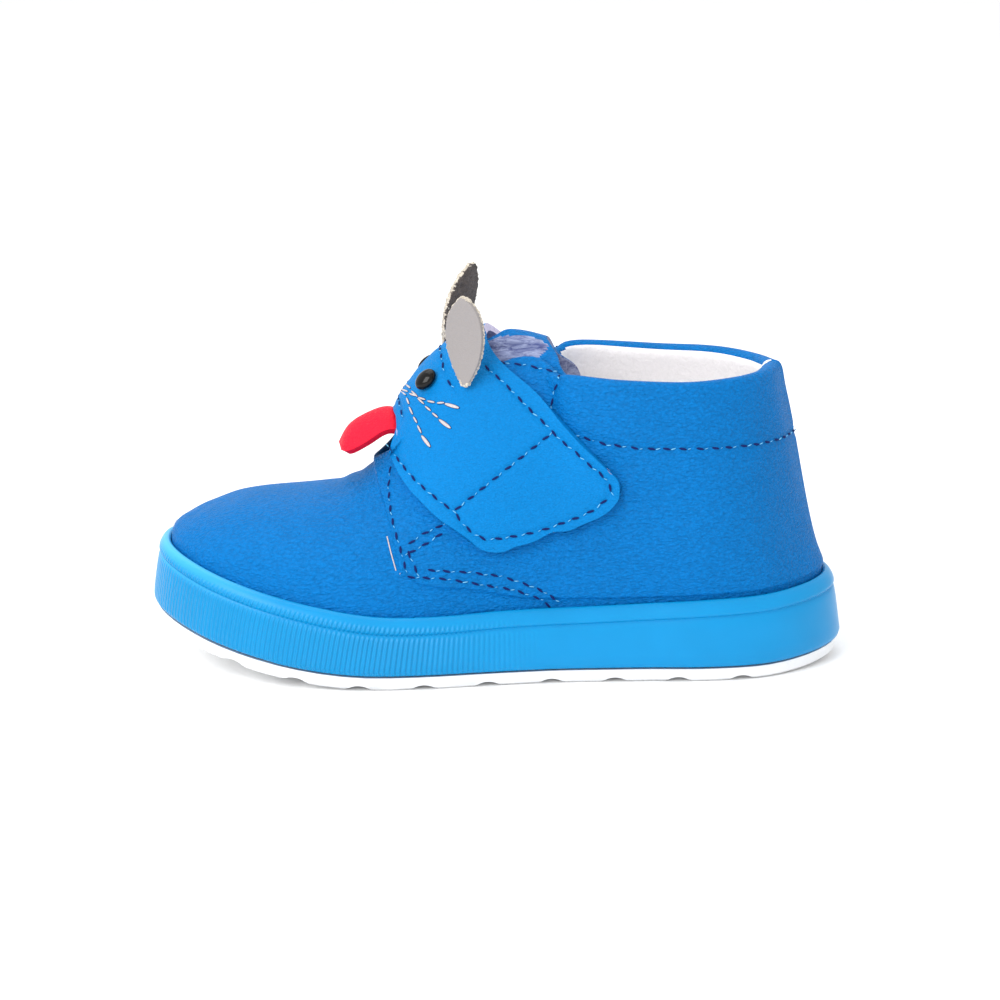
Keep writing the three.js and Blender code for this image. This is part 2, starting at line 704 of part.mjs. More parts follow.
// Strap: from its seam on the inner side over the instep to its round end on the outer side
const STRAP_ROWS = 28;
const STRAP_COLUMNS = 12;
const STRAP_LIFT = QUARTER_STEP + GAP;
const STRAP_WAIST = 1.7;
const STRAP_WAIST_ARC = 12;
const STRAP_WAIST_SPREAD = 8.4;

function mouthAt(arc) {
  const beside = THREE.MathUtils.smoothstep(Math.abs(arc), MOUTH_WIDTH * 0.36, MOUTH_WIDTH * 0.62);
  return MOUTH_DEPTH * (1 - beside);
}

function waistAt(arc) {
  return STRAP_WAIST * Math.exp(-(((arc - STRAP_WAIST_ARC) / STRAP_WAIST_SPREAD) ** 2));
}

function makeStrap(net) {
  const grid = [];
  for (let c = 0; c <= STRAP_COLUMNS; c += 1) {
    const across = c / STRAP_COLUMNS;
    const place = STRAP_PLACE + across * STRAP_WIDTH;
    const reach = STRAP_REACH * follow(STRAP_END, "across", "reach", across);
    const end = arcAtReach(net, place, reach, 1);
    const root = arcAtReach(net, place, STRAP_ROOT_REACH, -1);
    const line = [];
    for (let r = 0; r <= STRAP_ROWS; r += 1) {
      const arc = THREE.MathUtils.lerp(root, end, r / STRAP_ROWS);
      const shift = mouthAt(arc) * (1 - across) ** 3 - waistAt(arc) * across ** 3;
      line.push(pointOnNet(net, place + shift, arc));
    }
    grid.push(line);
  }
  return sheetSolid(grid, STRAP_THICKNESS);
}

// Ears: leaves that stand on the strap, turned a little to the front
const EAR_ARC = 16.8;
const EAR_SEAT = 0.3;
const EAR_ROWS = 10;
const EAR_COLUMNS = 4;
const LEAF = table("up half", [
  [0, 0.14],
  [0.12, 0.45],
  [0.35, 0.86],
  [0.6, 1.0],
  [0.8, 0.84],
  [0.93, 0.5],
  [1, 0.16],
]);

function makeEar(net, side, length, curl) {
  const seat = pointOnNet(net, curl.place, side * EAR_ARC);
  const turn = THREE.MathUtils.degToRad(curl.turn);
  const wide = new THREE.Vector3(Math.cos(turn), -side * Math.sin(turn), 0);
  const face = new THREE.Vector3(-Math.sin(turn), -side * Math.cos(turn), 0);
  const seatOut = GAP + (EAR_WIDTH / 2) * Math.sin(turn) * EAR_SEAT;
  const grid = [];
  for (let r = 0; r <= EAR_ROWS; r += 1) {
    const up = r / EAR_ROWS;
    const half = (follow(LEAF, "up", "half", up) * EAR_WIDTH) / 2;
    const middle = seat.clone().addScaledVector(face, seatOut - curl.lean * up ** 2);
    middle.x += curl.back * up ** 2;
    middle.z += length * up;
    const line = [];
    for (let c = 0; c <= EAR_COLUMNS; c += 1) {
      const across = (2 * c) / EAR_COLUMNS - 1;
      const cup = curl.cup * (across * half) ** 2;
      line.push(middle.clone().addScaledVector(wide, across * half).addScaledVector(face, cup));
    }
    grid.push(line);
  }
  return sheetSolid(grid, EAR_THICKNESS * side);
}

// Eyes: flat domes on the strap
const EYE_PLACE = 33.2;
const EYE_SINK = 0.35;

function makeEye(net, side) {
  const arc = side * EYE_SPREAD;
  const seat = pointOnNet(net, EYE_PLACE, arc);
  const along = pointOnNet(net, EYE_PLACE + 1, arc).sub(seat);
  const round = pointOnNet(net, EYE_PLACE, arc + 1).sub(seat);
  const out = round.clone().cross(along).normalize();
  if (out.z < 0) out.negate();
  const upward = along.clone().addScaledVector(out, -along.dot(out)).normalize();
  const profile = [new THREE.Vector2(0, 0), new THREE.Vector2(EYE_LENGTH / 2, 0)];
  const steps = 6;
  for (let n = 1; n < steps; n += 1) {
    const turn = (Math.PI / 2) * (n / steps);
    const height = EYE_HEIGHT * (EYE_SINK + (1 - EYE_SINK) * Math.sin(turn));
    profile.push(new THREE.Vector2((EYE_LENGTH / 2) * Math.cos(turn), height));
  }
  profile.push(new THREE.Vector2(0, EYE_HEIGHT));
  const geometry = new THREE.LatheGeometry(profile, 20);
  geometry.deleteAttribute("normal");
  geometry.deleteAttribute("uv");
  geometry.scale(EYE_WIDTH / EYE_LENGTH, 1, 1);
  const sideways = out.clone().cross(upward);
  geometry.applyMatrix4(new THREE.Matrix4().makeBasis(sideways, out, upward.negate()));
  const place = seat.addScaledVector(out, GAP);
  geometry.translate(place.x, place.y, place.z);
  return outward(mergedClosed(geometry));
}

function mergedClosed(geometry) {
  const flat = geometry.index ? geometry : mergeVertices(geometry);
  const p = flat.attributes.position;
  const points = Array.from({ length: p.count }, (_, n) => new THREE.Vector3().fromBufferAttribute(p, n));
  const index = [...flat.index.array];
  const faces = [];
  for (let n = 0; n < index.length; n += 3) faces.push(index.slice(n, n + 3));
  return geometryOf(points, faces);
}

// The face's tongue: a round-ended flap that lies under the strap at the mouth and hangs forward
const LICK_ROWS = 9;
const LICK_COLUMNS = 6;
const LICK_TUCK = 3.5;
const LICK_START = 1.1;
const LICK_LIFT = 3;
const LICK_DROOP = table("out ahead down arch", [
  [0, 0, 0, 0.4],
  [0.25, 0.2, 0.03, 0.8],
  [0.5, 0.42, 0.11, 1],
  [0.75, 0.6, 0.23, 1],
  [1, 0.7, 0.41, 0.9],
]);
const LICK_ARCH = 4.4;
const LICK_ROUND_FROM = 0.6;

function makeLick() {
  const net = makeNet(STRAP_LIFT - 2.5 * GAP - LICK_THICKNESS);
  const mouth = STRAP_PLACE + MOUTH_DEPTH;
  const places = Array.from({ length: LICK_COLUMNS + 1 }, (_, c) => (2 * c) / LICK_COLUMNS - 1);
  const spread = (reach) => places.map((place) => place * reach);
  const tucked = [LICK_TUCK, LICK_TUCK / 2].map((back) =>
    spread(LICK_WIDTH * 0.45).map((arc) => pointOnNet(net, mouth + back, -arc)),
  );
  const root = pointOnNet(net, mouth - LICK_START, 0);
  const hanging = Array.from({ length: LICK_ROWS + 1 }, (_, r) => {
    const out = r / LICK_ROWS;
    const tip = Math.max(0, (out - LICK_ROUND_FROM) / (1 - LICK_ROUND_FROM));
    const widened = 0.9 + 0.1 * Math.min(1, 2 * out);
    const half = (LICK_WIDTH / 2) * widened * Math.sqrt(Math.max(0.03, 1 - tip ** 2.2));
    const arch = LICK_ARCH * follow(LICK_DROOP, "out", "arch", out);
    const drop = LICK_LENGTH * follow(LICK_DROOP, "out", "down", out);
    const x = root.x - LICK_LENGTH * follow(LICK_DROOP, "out", "ahead", out);
    const z = root.z + LICK_LIFT * Math.min(1, 4 * out) - drop;
    return spread(half).map((y) => new THREE.Vector3(x, y, z - arch * (y / (LICK_WIDTH / 2)) ** 2));
  });
  return sheetSolid([...tucked, ...hanging], LICK_THICKNESS);
}

// Colours of the materials
function material(color, roughness) {
  return new THREE.MeshStandardMaterial({ color, roughness, metalness: 0 });
}
const LEATHER = material(0x0a86d6, 0.55);
const STRAP_LEATHER = material(0x0f98e0, 0.5);
const RUBBER = material(0x1095e6, 0.35);
const WHITE_RUBBER = material(0xf2f4f5, 0.5);
const LINING = material(0xf0efee, 0.9);
const EAR_LEATHER = material(0xbdb4b4, 0.6);
const EYE_GLOSS = material(0x151212, 0.1);
const RED_LEATHER = material(0xf03850, 0.5);

const shoe = new THREE.Group();

function addPart(name, geometry, finish) {
  const mesh = new THREE.Mesh(geometry, finish);
  mesh.name = name;
  shoe.add(mesh);
}

const EAR_CURL = { place: 39.5, turn: 27, lean: -2.2, back: -1, cup: 0.03 };
const FAR_EAR_CURL = { place: 36.3, turn: 48, lean: -1.2, back: 3.2, cup: 0.03 };
const FAR_EAR_EXTRA = 4;

const strapNet = makeNet(STRAP_LIFT);
const strapTop = makeNet(STRAP_LIFT + STRAP_THICKNESS);

addPart("outsole", makeOutsole(), WHITE_RUBBER);
addPart("cup_midsole", makeCup(), RUBBER);
addPart("insole", makeInsole(), LINING);
addPart("upper", outward(makeUpper()), LEATHER);
addPart("tongue", makeTongue(), LEATHER);
addPart("strap", makeStrap(strapNet), STRAP_LEATHER);
addPart("ear_outer", makeEar(strapTop, 1, EAR_LENGTH, EAR_CURL), EAR_LEATHER);
addPart("ear_inner", makeEar(strapTop, -1, EAR_LENGTH + FAR_EAR_EXTRA, FAR_EAR_CURL), EAR_LEATHER);
addPart("eye_outer", makeEye(strapTop, 1), EYE_GLOSS);
addPart("eye_inner", makeEye(strapTop, -1), EYE_GLOSS);
addPart("face_tongue", makeLick(), RED_LEATHER);

// The shoe is laid so that the origin is midway between its two sides.
const box = new THREE.Box3().setFromObject(shoe);
shoe.position.y = -(box.min.y + box.max.y) / 2;
const placedShoe = new THREE.Group();
placedShoe.add(shoe);

export default placedShoe;
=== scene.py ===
"""Dresses a toddler's ankle shoe: its leather, rubber, linings, seams and the animal's face."""

import math

import bmesh
import bpy
from mathutils import Matrix, Vector, kdtree, noise
from mathutils.bvhtree import BVHTree


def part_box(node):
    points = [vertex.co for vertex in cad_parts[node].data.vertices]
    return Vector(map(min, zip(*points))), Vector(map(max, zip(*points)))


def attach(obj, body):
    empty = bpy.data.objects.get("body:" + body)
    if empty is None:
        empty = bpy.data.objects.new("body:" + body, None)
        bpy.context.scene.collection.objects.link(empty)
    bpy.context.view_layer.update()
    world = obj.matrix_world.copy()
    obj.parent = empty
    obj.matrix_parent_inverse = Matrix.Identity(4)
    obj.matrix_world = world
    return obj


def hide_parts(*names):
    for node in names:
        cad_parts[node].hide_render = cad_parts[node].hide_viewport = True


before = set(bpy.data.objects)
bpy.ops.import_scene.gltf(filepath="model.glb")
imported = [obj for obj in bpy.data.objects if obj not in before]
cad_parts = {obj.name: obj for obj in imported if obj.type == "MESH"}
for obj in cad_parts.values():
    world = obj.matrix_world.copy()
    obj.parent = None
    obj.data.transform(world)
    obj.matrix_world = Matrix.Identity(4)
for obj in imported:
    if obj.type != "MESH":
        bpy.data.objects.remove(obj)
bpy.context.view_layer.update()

bl_info = {
    "name": "Toddler's Ankle Shoe",
    "version": (1, 0, 0),
    "blender": (4, 5, 0),
    "location": "3D View > Sidebar > Shoe",
    "description": "Leather, rubber, seams and face of a toddler's ankle shoe",
    "category": "Object",
}

MM = 0.001
# How far a smooth surface is drawn back out to the solid's corners, at each of two passes
DRAWN = 0.8
# Numbers of a piece's materials: on its outer side, its inner side and its cut edge
OUTER, INNER, RIM = 0, 1, 2

# The shoe's own middle plane, and the eye from which the side view is measured
MIDDLE = 0.78 * MM
LOOK_AT = Vector((0.6 * MM, MIDDLE, 33.65 * MM))
EYE_DISTANCE = 0.7
EYE_TILT = math.radians(13.5)
LOOK = Vector((0, math.cos(EYE_TILT), -math.sin(EYE_TILT)))
EYE = LOOK_AT - EYE_DISTANCE * LOOK
FAR_EYE = Vector((EYE.x, 2 * MIDDLE - EYE.y, EYE.z))

# The camera's sensor in millimetres, its lens in sensor widths, and the floor's half width
SENSOR = 36
LENS = 3.22
FLOOR_REACH = 6
# Lamps: name, place in metres, power in watts and size in metres
LAMPS = [
    ("Front light", (-0.55, -0.75, 0.6), 8, 0.7),
    ("Top light", (-0.1, 0.2, 0.95), 3, 0.8),
]

# Seams in the side view: places in millimetres where they cross the middle plane
QUARTER_TOP = [(0.6, 64.3), (2.3, 63.9), (6.0, 63.6), (9.6, 62.7), (13.0, 62.1)]
QUARTER_DOWN = [(13.4, 61.8), (12.8, 59.5), (11.9, 56.9), (11.6, 53.6), (11.4, 51.4)]
STRAP_EDGE = [
    (-2.6, 63.3), (-1.3, 62.1), (1.2, 59.9), (3.4, 57.6), (5.6, 55.3), (7.7, 53.1),
    (10.1, 50.8), (12.0, 48.7), (14.2, 46.5), (16.8, 44.4), (19.6, 41.7), (22.3, 39.5),
    (23.9, 37.9), (24.6, 36.1), (23.8, 33.8), (21.0, 31.4), (17.8, 29.8), (14.5, 28.6),
    (11.1, 27.3), (7.7, 26.3), (4.3, 25.6), (0.6, 25.0), (-2.6, 24.8), (-5.2, 26.1),
    (-7.7, 28.5), (-9.3, 31.0), (-11.9, 32.9), (-14.7, 35.2), (-17.7, 37.9), (-19.4, 39.8),
    (-21.4, 42.5), (-23.5, 45.4), (-24.4, 46.9),
]
STRAP_CROSS = [(-9.0, 31.5), (11.6, 48.4)]
FACING_FRONT = [
    (-23.3, 40.8), (-23.7, 36.8), (-23.5, 33.3), (-23.0, 29.8), (-22.2, 26.3), (-21.2, 22.9),
    (-20.4, 19.6), (-19.5, 16.3),
]
FACING_LOW = [
    (-19.4, 16.3), (-15.4, 16.1), (-12.0, 15.9), (-9.0, 15.5), (-5.4, 14.9), (-2.6, 14.4),
    (0.8, 13.9), (4.0, 13.3), (6.4, 12.4), (8.9, 11.5), (11.3, 9.8),
]
FACING_HIGH = [
    (-19.5, 22.0), (-18.7, 20.2), (-17.8, 18.0), (-16.1, 18.0), (-12.6, 17.7), (-9.4, 17.5),
    (-6.0, 17.4), (-2.8, 16.9), (0.2, 16.6), (3.2, 15.7), (6.1, 14.7), (9.1, 13.5),
    (11.5, 12.1), (14.2, 10.2),
]
TACK_HIGH = [(-19.1, 23.9), (-16.3, 26.0), (-13.1, 27.5), (-12.3, 27.9)]
TACK_LOW = [(-12.2, 26.1), (-15.0, 24.2), (-18.0, 22.4), (-19.6, 21.6)]
EAR_SEAM = [(-12.5, 67.7), (-12.2, 65.9), (-11.8, 63.7), (-11.4, 61.1)]
EAR_TACK = [(-10.6, 59.9), (-9.7, 58.9), (-8.7, 57.4)]
MOUTH_SEAM = [(-22.0, 57.8), (-21.3, 55.5), (-20.9, 53.4), (-20.4, 51.9)]
WHISKERS = [
    [(-20.9, 58.5), (-18.5, 57.1), (-15.2, 55.7), (-13.3, 55.2), (-11.5, 55.2), (-8.1, 53.9)],
    [(-19.7, 59.5), (-18.4, 57.9), (-16.9, 56.1), (-15.2, 54.2), (-12.6, 51.7), (-10.0, 49.4)],
    [(-20.7, 58.0), (-19.3, 56.1), (-18.7, 53.4), (-17.6, 51.4), (-16.0, 47.4), (-14.5, 45.3)],
]
LOOSE_THREAD = [(-24.0, 25.4), (-23.2, 21.8), (-22.1, 17.7)]
STRAP_LAYER = [
    (16.7, 48.6), (19.0, 46.3), (22.2, 43.2), (24.1, 40.7), (24.9, 38.0), (24.9, 35.7),
    (23.7, 33.1),
]
# How far the strap's edge swells at places in the side view, in millimetres
STRAP_SWELL = [
    ((-22.3, 43.7), (-1.0, -0.5)),
    ((-19.6, 40.2), (-1.6, -1.2)),
    ((-16.4, 37.1), (-1.7, -1.5)),
    ((-13.4, 33.7), (-1.5, -1.3)),
    ((-10.5, 30.6), (-1.2, -1.1)),
    ((-7.5, 27.1), (-0.5, -0.5)),
    ((6.0, 24.8), (0.1, -0.7)),
    ((9.0, 26.7), (0.3, -1.7)),
    ((14.7, 29.2), (0.5, -2.3)),
    ((19.2, 31.0), (0.6, -2.0)),
    ((22.9, 32.1), (0.5, -1.3)),
]
# Where the tongue's lining shows at its end, and the hollow there
LINING_PATCH = [
    (-3.7, 68.3), (-1.5, 69.0), (0.6, 69.7), (4.0, 70.2), (7.0, 69.9), (9.4, 69.0),
    (11.1, 67.7), (9.4, 65.5), (7.1, 64.6), (0.6, 64.0), (-3.7, 64.0),
]
LINING_HOLLOW = [(-2.4, 67.0), (0.6, 67.5), (4.0, 67.7), (7.0, 67.5), (9.4, 66.9)]
# Soft creases: a side-view line, its depth and its width in millimetres
UPPER_CREASES = [
    ([(-31.0, 41.5), (-29.5, 36.5), (-27.0, 31.0)], 0.5, 2.2),
    ([(-35.5, 39.5), (-34.0, 34.5), (-31.0, 29.5)], 0.35, 2.0),
    ([(16.0, 44.0), (22.0, 41.0), (29.0, 42.5)], 0.3, 2.0),
    ([(30.0, 33.0), (38.0, 36.5), (46.0, 35.5)], 0.3, 2.4),
]
STRAP_CREASES = [([(-4.5, 29.5), (1.0, 30.6), (7.0, 31.9)], 0.16, 0.8)]

# The seam under the collar, round the ankle: turn from the heel in degrees, height in mm
COLLAR_SEAM = [
    (-127, 52.8), (-110, 51.0), (-90, 50.1), (0, 49.6), (90, 50.1), (110, 51.0),
    (127, 52.8),
]
ANKLE = Vector((30 * MM, MIDDLE, 0))

# Distances between seated points: in the side view in millimetres, round the ankle in degrees
SIDE_STEP = 0.3
ROUND_STEP = 1.0


def tone(red, green, blue):
    """A colour given as on screen, from 0 to 255, as light."""
    return tuple((value / 255 / 12.92) if value < 11 else ((value / 255 + 0.055) / 1.055) ** 2.4
                 for value in (red, green, blue))


def colour(name, description, value):
    """A colour that a user may change."""
    return bpy.props.FloatVectorProperty(
        name=name, description=description, subtype="COLOR", size=3, min=0, max=1, default=value)


def length(name, description, value):
    """A length that a user may change, in millimetres."""
    return bpy.props.FloatProperty(
        name=name, description=description, subtype="DISTANCE", unit="LENGTH", min=0,
        default=value * MM, precision=5)


class ShoeColours(bpy.types.PropertyGroup):
    """Colours of the shoe's leathers, rubbers, cloths and threads."""

    upper: colour("Upper", "Leather of the vamp and quarters", tone(0, 114, 189))
    strap: colour("Strap", "Leather of the strap", tone(0, 124, 197))
    cup: colour("Cup", "Rubber of the side wall and lip", tone(0, 139, 199))
    # Painted light: a lighter blue standing for light through the thin lip, on its upward faces at
    # the toe
    lip_light: colour("Lip light", "Rubber where the lip is thin", tone(70, 175, 225))
    outsole: colour("Outsole", "Rubber of the tread", tone(236, 237, 238))
    lining: colour("Lining", "Cloth lining of the collar", tone(255, 252, 253))
    backing: colour("Backing", "Cloth under the strap", tone(212, 204, 230))
    knit: colour("Knit", "Cloth lining of the tongue", tone(155, 164, 198))
    knit_shade: colour("Knit shade", "Hollows of the tongue's lining", tone(75, 85, 135))
    ear: colour("Ear", "Smooth side of the ears", tone(150, 145, 144))
    suede: colour("Suede", "Rough side of the ears", tone(95, 85, 80))
    cut_edge: colour("Cut edge", "Raw edges of the ears", tone(225, 215, 198))
    red: colour("Red", "Leather of the face's tongue", tone(238, 28, 56))
    eye: colour("Eye", "Gloss of the eyes", tone(5, 4, 4))
    # Painted highlight: the light blue of the thread's lit stitches
    thread: colour("Thread", "Sewing thread highlight", tone(120, 200, 240))
    # Painted shade: the dark colour of the needle holes and of the beads under the whiskers
    hole: colour("Needle hole shade", "Dark holes between two stitches", tone(0, 25, 95))
    whisker: colour("Whisker", "Thread of the whiskers", tone(205, 196, 196))
    floor: colour("Floor", "Floor under the shoe", tone(252, 252, 252))


class ShoeSizes(bpy.types.PropertyGroup):
    """Sizes of the shoe's seams, threads and grain."""

    stitch: length("Stitch", "Distance from one stitch to the next", 3.4)
    thread: length("Thread", "Thickness of the sewing thread", 0.5)
    seam_width: length("Seam width", "Width of the hollow along a seam", 0.9)
    seam_depth: length("Seam depth", "Depth of the hollow along a seam", 0.3)
    whisker: length("Whisker", "Thickness of the whiskers' thread", 0.6)
    grain: length("Grain", "Size of the leather's grain", 0.66)
    rib: length("Rib", "Distance of the fine ribs on the side wall", 1.05)
    edge_round: length("Edge round", "Rounding of the cut edges of straps and flaps", 0.35)


def clamped(value, low=0, high=1):
    """A value kept between two limits."""
    return min(max(value, low), high)


def sizes():
    """The sizes in use."""
    return bpy.context.scene.shoe_sizes


def colours():
    """The colours in use."""
    return bpy.context.scene.shoe_colours


# Pieces from the solids


def merged_form(node):
    """A solid's surface with its loose triangles merged and joined into quads."""
    form = bmesh.new()
    form.from_mesh(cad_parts[node].data)
    bmesh.ops.remove_doubles(form, verts=form.verts, dist=0.002 * MM)
    bmesh.ops.join_triangles(
        form, faces=form.faces, angle_face_threshold=math.radians(50),
        angle_shape_threshold=math.radians(60), topology_influence=1.0)
    return form


def round_edges(form, least_angle, offset):
    """Bevels the edges that turn by more than an angle in degrees."""
    edges = [edge for edge in form.edges
             if edge.is_manifold and edge.calc_face_angle(0) > math.radians(least_angle)]
    bmesh.ops.bevel(form, geom=edges, offset=offset, offset_type="OFFSET", affect="EDGES",
                    segments=2, profile=0.5, material=-1, clamp_overlap=True)


def hold_edges(form, least_angle):
    """Keeps the edges that turn by more than an angle in degrees when the surface is subdivided."""
    layers = form.edges.layers.float
    crease = layers.get("crease_edge") or layers.new("crease_edge")
    for edge in form.edges:
        if edge.is_manifold and edge.calc_face_angle(0) > math.radians(least_angle):
            edge[crease] = 1


def skin(name, node, offset):
    """A smooth piece drawn through a solid's corners, with rounded cut edges."""
    form = merged_form(node)
    hold_edges(form, 50)
    drawn = subdivided(new_piece(name, form), 2, through=DRAWN)
    form = bmesh.new()
    form.from_mesh(drawn.data)
    crease = form.edges.layers.float.get("crease_edge")
    if crease:
        form.edges.layers.float.remove(crease)
    bpy.data.objects.remove(drawn)
    round_edges(form, 50, offset)
    return subdivided(new_piece(name, form), 1)


def new_piece(name, form):
    """A new object from a form, shaded smooth."""
    mesh = bpy.data.meshes.new(name)
    for face in form.faces:
        face.smooth = True
    form.to_mesh(mesh)
    form.free()
    piece = bpy.data.objects.new(name, mesh)
    bpy.context.scene.collection.objects.link(piece)
    return piece


def subdivided(piece, levels, through=0):
    """Subdivides a piece. "through" draws the smooth surface out to its corners."""
    smooth = piece.modifiers.new("Smooth", "SUBSURF")
    smooth.levels = levels
    smooth.render_levels = levels
    corners = [corner.co.copy() for corner in piece.data.vertices]
    for _ in range(2 if through else 0):
        made = settled_mesh(piece)
        for n, corner in enumerate(piece.data.vertices):
            corner.co += through * (corners[n] - made.vertices[n].co)
        bpy.data.meshes.remove(made)
    made = settled_mesh(piece)
    piece.modifiers.clear()
    piece.data = made
    return piece


def settled_mesh(piece):
    """The mesh that a piece has with its modifiers."""
    graph = bpy.context.evaluated_depsgraph_get()
    graph.update()
    return bpy.data.meshes.new_from_object(piece.evaluated_get(graph), depsgraph=graph)


def stands_for(piece, slot=None, *nodes):
    """The piece rides with the shoe, and is shown in place of these solids."""
    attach(piece, "root")
    if nodes:
        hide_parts(*nodes)


def core_of(place):
    """The point inside the foot from which a place on the shoe faces outward."""
    toe, heel = -0.05, 0.045
    low, rise, reach_back = 0.015, 0.025, 0.04
    height = low + rise * clamped((place.x + reach_back) / reach_back)
    return Vector((clamped(place.x, toe, heel), MIDDLE, min(place.z, height)))


def outwardness(place, normal):
    """How far a normal faces away from the foot, from -1 to 1."""
    return normal.dot((place - core_of(place)).normalized())


def over_instep(place, normal):
    """How far a normal faces away from the instep, which the strap and the tongue arch over."""
    forward, up = -0.0065, 0.0101
    return normal.dot(Vector((forward, place.y - MIDDLE, up)).normalized())


def paint_faces(piece, pick):
    """Gives each face of a piece the material that "pick" numbers by its centre and normal."""
    for face in piece.data.polygons:
        face.material_index = pick(face.center, face.normal)


def surface_of(piece):
    """A piece's surface, to seat stitches on."""
    mesh = piece.data
    return BVHTree.FromPolygons([v.co for v in mesh.vertices], [p.vertices for p in mesh.polygons])


# Seams


def steps_along(line, step):
    """Points along a line of points, a step apart."""
    points = [Vector(point) for point in line]
    made = [points[0]]
    rest = step
    for start, end in zip(points, points[1:]):
        reach = (end - start).length
        while rest <= reach:
            made.append(start.lerp(end, rest / reach))
            rest += step
        rest -= reach
    return made


def seated(surface, line, eye=EYE):
    """Seats a side-view line on a surface, as seen from an eye: a list of places and normals."""
    made = []
    for along, up in steps_along(line, SIDE_STEP):
        way = Vector((along * MM, MIDDLE, up * MM)) - eye
        place, normal, _, _ = surface.ray_cast(eye, way.normalized())
        if place is not None:
            made.append((place, normal if normal.dot(way) < 0 else -normal))
    return made


def seated_round(surface, table):
    """Seats a line round the ankle: (turn from the heel in degrees, height in millimetres)."""
    made = []
    for turn, height in steps_along(table, ROUND_STEP):
        out = Vector((math.cos(math.radians(turn)), math.sin(math.radians(turn)), 0))
        start = ANKLE + 0.1 * out
        start.z = height * MM
        place, normal, _, _ = surface.ray_cast(start, -out)
        if place is not None:
            made.append((place, normal))
    return made


def reshape(piece, places):
    """Moves a piece's corners to new places."""
    piece.data.vertices.foreach_set("co", [part for place in places for part in place])
    piece.data.update()


def press_in(piece, seams, depth, width):
    """Presses a soft hollow into a piece along seated lines."""
    places = [place for seam in seams for place, _ in seam]
    tree = kdtree.KDTree(len(places))
    for n, place in enumerate(places):
        tree.insert(place, n)
    tree.balance()
    moved = []
    for corner in piece.data.vertices:
        _, _, away = tree.find(corner.co)
        move = depth * math.exp(-((away / width) ** 2)) if away < 3 * width else 0
        moved.append(corner.co - move * corner.normal)
    reshape(piece, moved)


def tucked_under(piece, cover, room):
    """Lowers a piece below the underside of the piece over it, and softly round there."""
    over = surface_of(cover)
    depth, most, spread = 3 * MM, 1.6 * MM, 6 * MM
    presses = {}
    outside = [corner for corner in piece.data.vertices
               if outwardness(corner.co, corner.normal) > 0.3]
    for corner in outside:
        start = corner.co - depth * corner.normal
        place, normal, _, away = over.ray_cast(start, corner.normal, 2 * depth)
        if place is not None and normal.dot(corner.normal) < 0:
            presses[corner.index] = clamped(depth + room - away, 0, most)
    tree = kdtree.KDTree(len(presses))
    for n in presses:
        tree.insert(piece.data.vertices[n].co, n)
    tree.balance()
    moved = [corner.co.copy() for corner in piece.data.vertices]
    for corner in outside:
        _, n, away = tree.find(corner.co)
        share = max(1 - away / spread, 0) ** 2
        moved[corner.index] -= share * presses[n] * corner.normal
    reshape(piece, moved)


def side_view(place):
    """Where a place appears in the side view, in metres on the middle plane."""
    seen = EYE + (place - EYE) * ((MIDDLE - EYE.y) / (place.y - EYE.y))
    return seen.x, seen.z


def within(spot, outline):
    """Whether a spot in metres lies in an outline in millimetres."""
    inside = False
    for (ax, az), (bx, bz) in zip(outline, outline[1:] + outline[:1]):
        if (az * MM > spot[1]) != (bz * MM > spot[1]):
            if spot[0] < (ax + (spot[1] / MM - az) * (bx - ax) / (bz - az)) * MM:
                inside = not inside
    return inside


def stitch_places(seam, pitch):
    """Even places along a seated line: (place, normal, direction)."""
    made = []
    widest_gap = 4 * MM
    at_start = 0.9 * pitch
    travelled = at_start
    for (a, normal), (b, _) in zip(seam, seam[1:]):
        step = (b - a).length
        if step > widest_gap:
            travelled = at_start
            continue
        travelled += step
        if travelled >= pitch and step > 0:
            travelled -= pitch
            made.append((b, normal, (b - a).normalized()))
    return made


def add_bead(form, place, normal, run, sizes_of_bead, slant=0, lift=0):
    """Adds one long bead of thread to a form: its length, width and height."""
    long, wide, high = sizes_of_bead
    side = normal.cross(run).normalized()
    run = (run * math.cos(slant) + side * math.sin(slant)).normalized()
    side = normal.cross(run).normalized()
    place = place + lift * normal
    turn = Matrix((side * wide / 2, normal * high / 2, run * long / 2)).transposed().to_4x4()
    bmesh.ops.create_uvsphere(
        form, u_segments=8, v_segments=6, radius=1, matrix=Matrix.Translation(place) @ turn)


def sew(name, seams):
    """Two pieces for seated lines: the thread's lit stitches as painted highlights, and the needle
    holes between them as painted shade.
    """
    pitch = sizes().stitch
    thread = sizes().thread
    stitches = bmesh.new()
    holes = bmesh.new()
    for seam in seams:
        for place, normal, run in stitch_places(seam, pitch):
            # Stitch beads are painted highlights on the thread; hole beads are painted shade where
            # the thread dives into the leather
            shine = 0.75 + 0.5 * noise.noise(place / (1.3 * MM))
            bead = (0.34 * shine * pitch, 0.5 * shine * thread, 0.7 * thread)
            after = place + 0.4 * pitch * run
            add_bead(stitches, after, normal, run, bead, slant=0.3, lift=-0.1 * thread)
            hole = (0.5 * pitch, thread, 0.4 * thread)
            add_bead(holes, place, normal, run, hole, slant=-0.18, lift=-0.12 * thread)
    for part, form, look in (("stitches", stitches, thread_highlight_material()),
                             ("holes", holes, hole_shade_material())):
        piece = new_piece(name + "_" + part, form)
        piece.data.materials.append(look)
        stands_for(piece)


# Materials


def material(name):
    """A material with its nodes, or with None where it was made before."""
    made = bpy.data.materials.get(name)
    if made:
        return made, None
    made = bpy.data.materials.new(name)
    made.use_nodes = True
    return made, made.node_tree


def node(tree, kind, **values):
    """A new node with its settings, and its inputs by name."""
    made = tree.nodes.new(kind)
    for name, value in values.items():
        plain = name.replace("_", " ").title()
        if plain in made.inputs:
            made.inputs[plain].default_value = value
        else:
            setattr(made, name, value)
    return made


def place_output(tree):
    """The place on the object itself."""
    found = tree.nodes.get("Place") or tree.nodes.new("ShaderNodeTexCoord")
    found.name = "Place"
    return found.outputs["Object"]


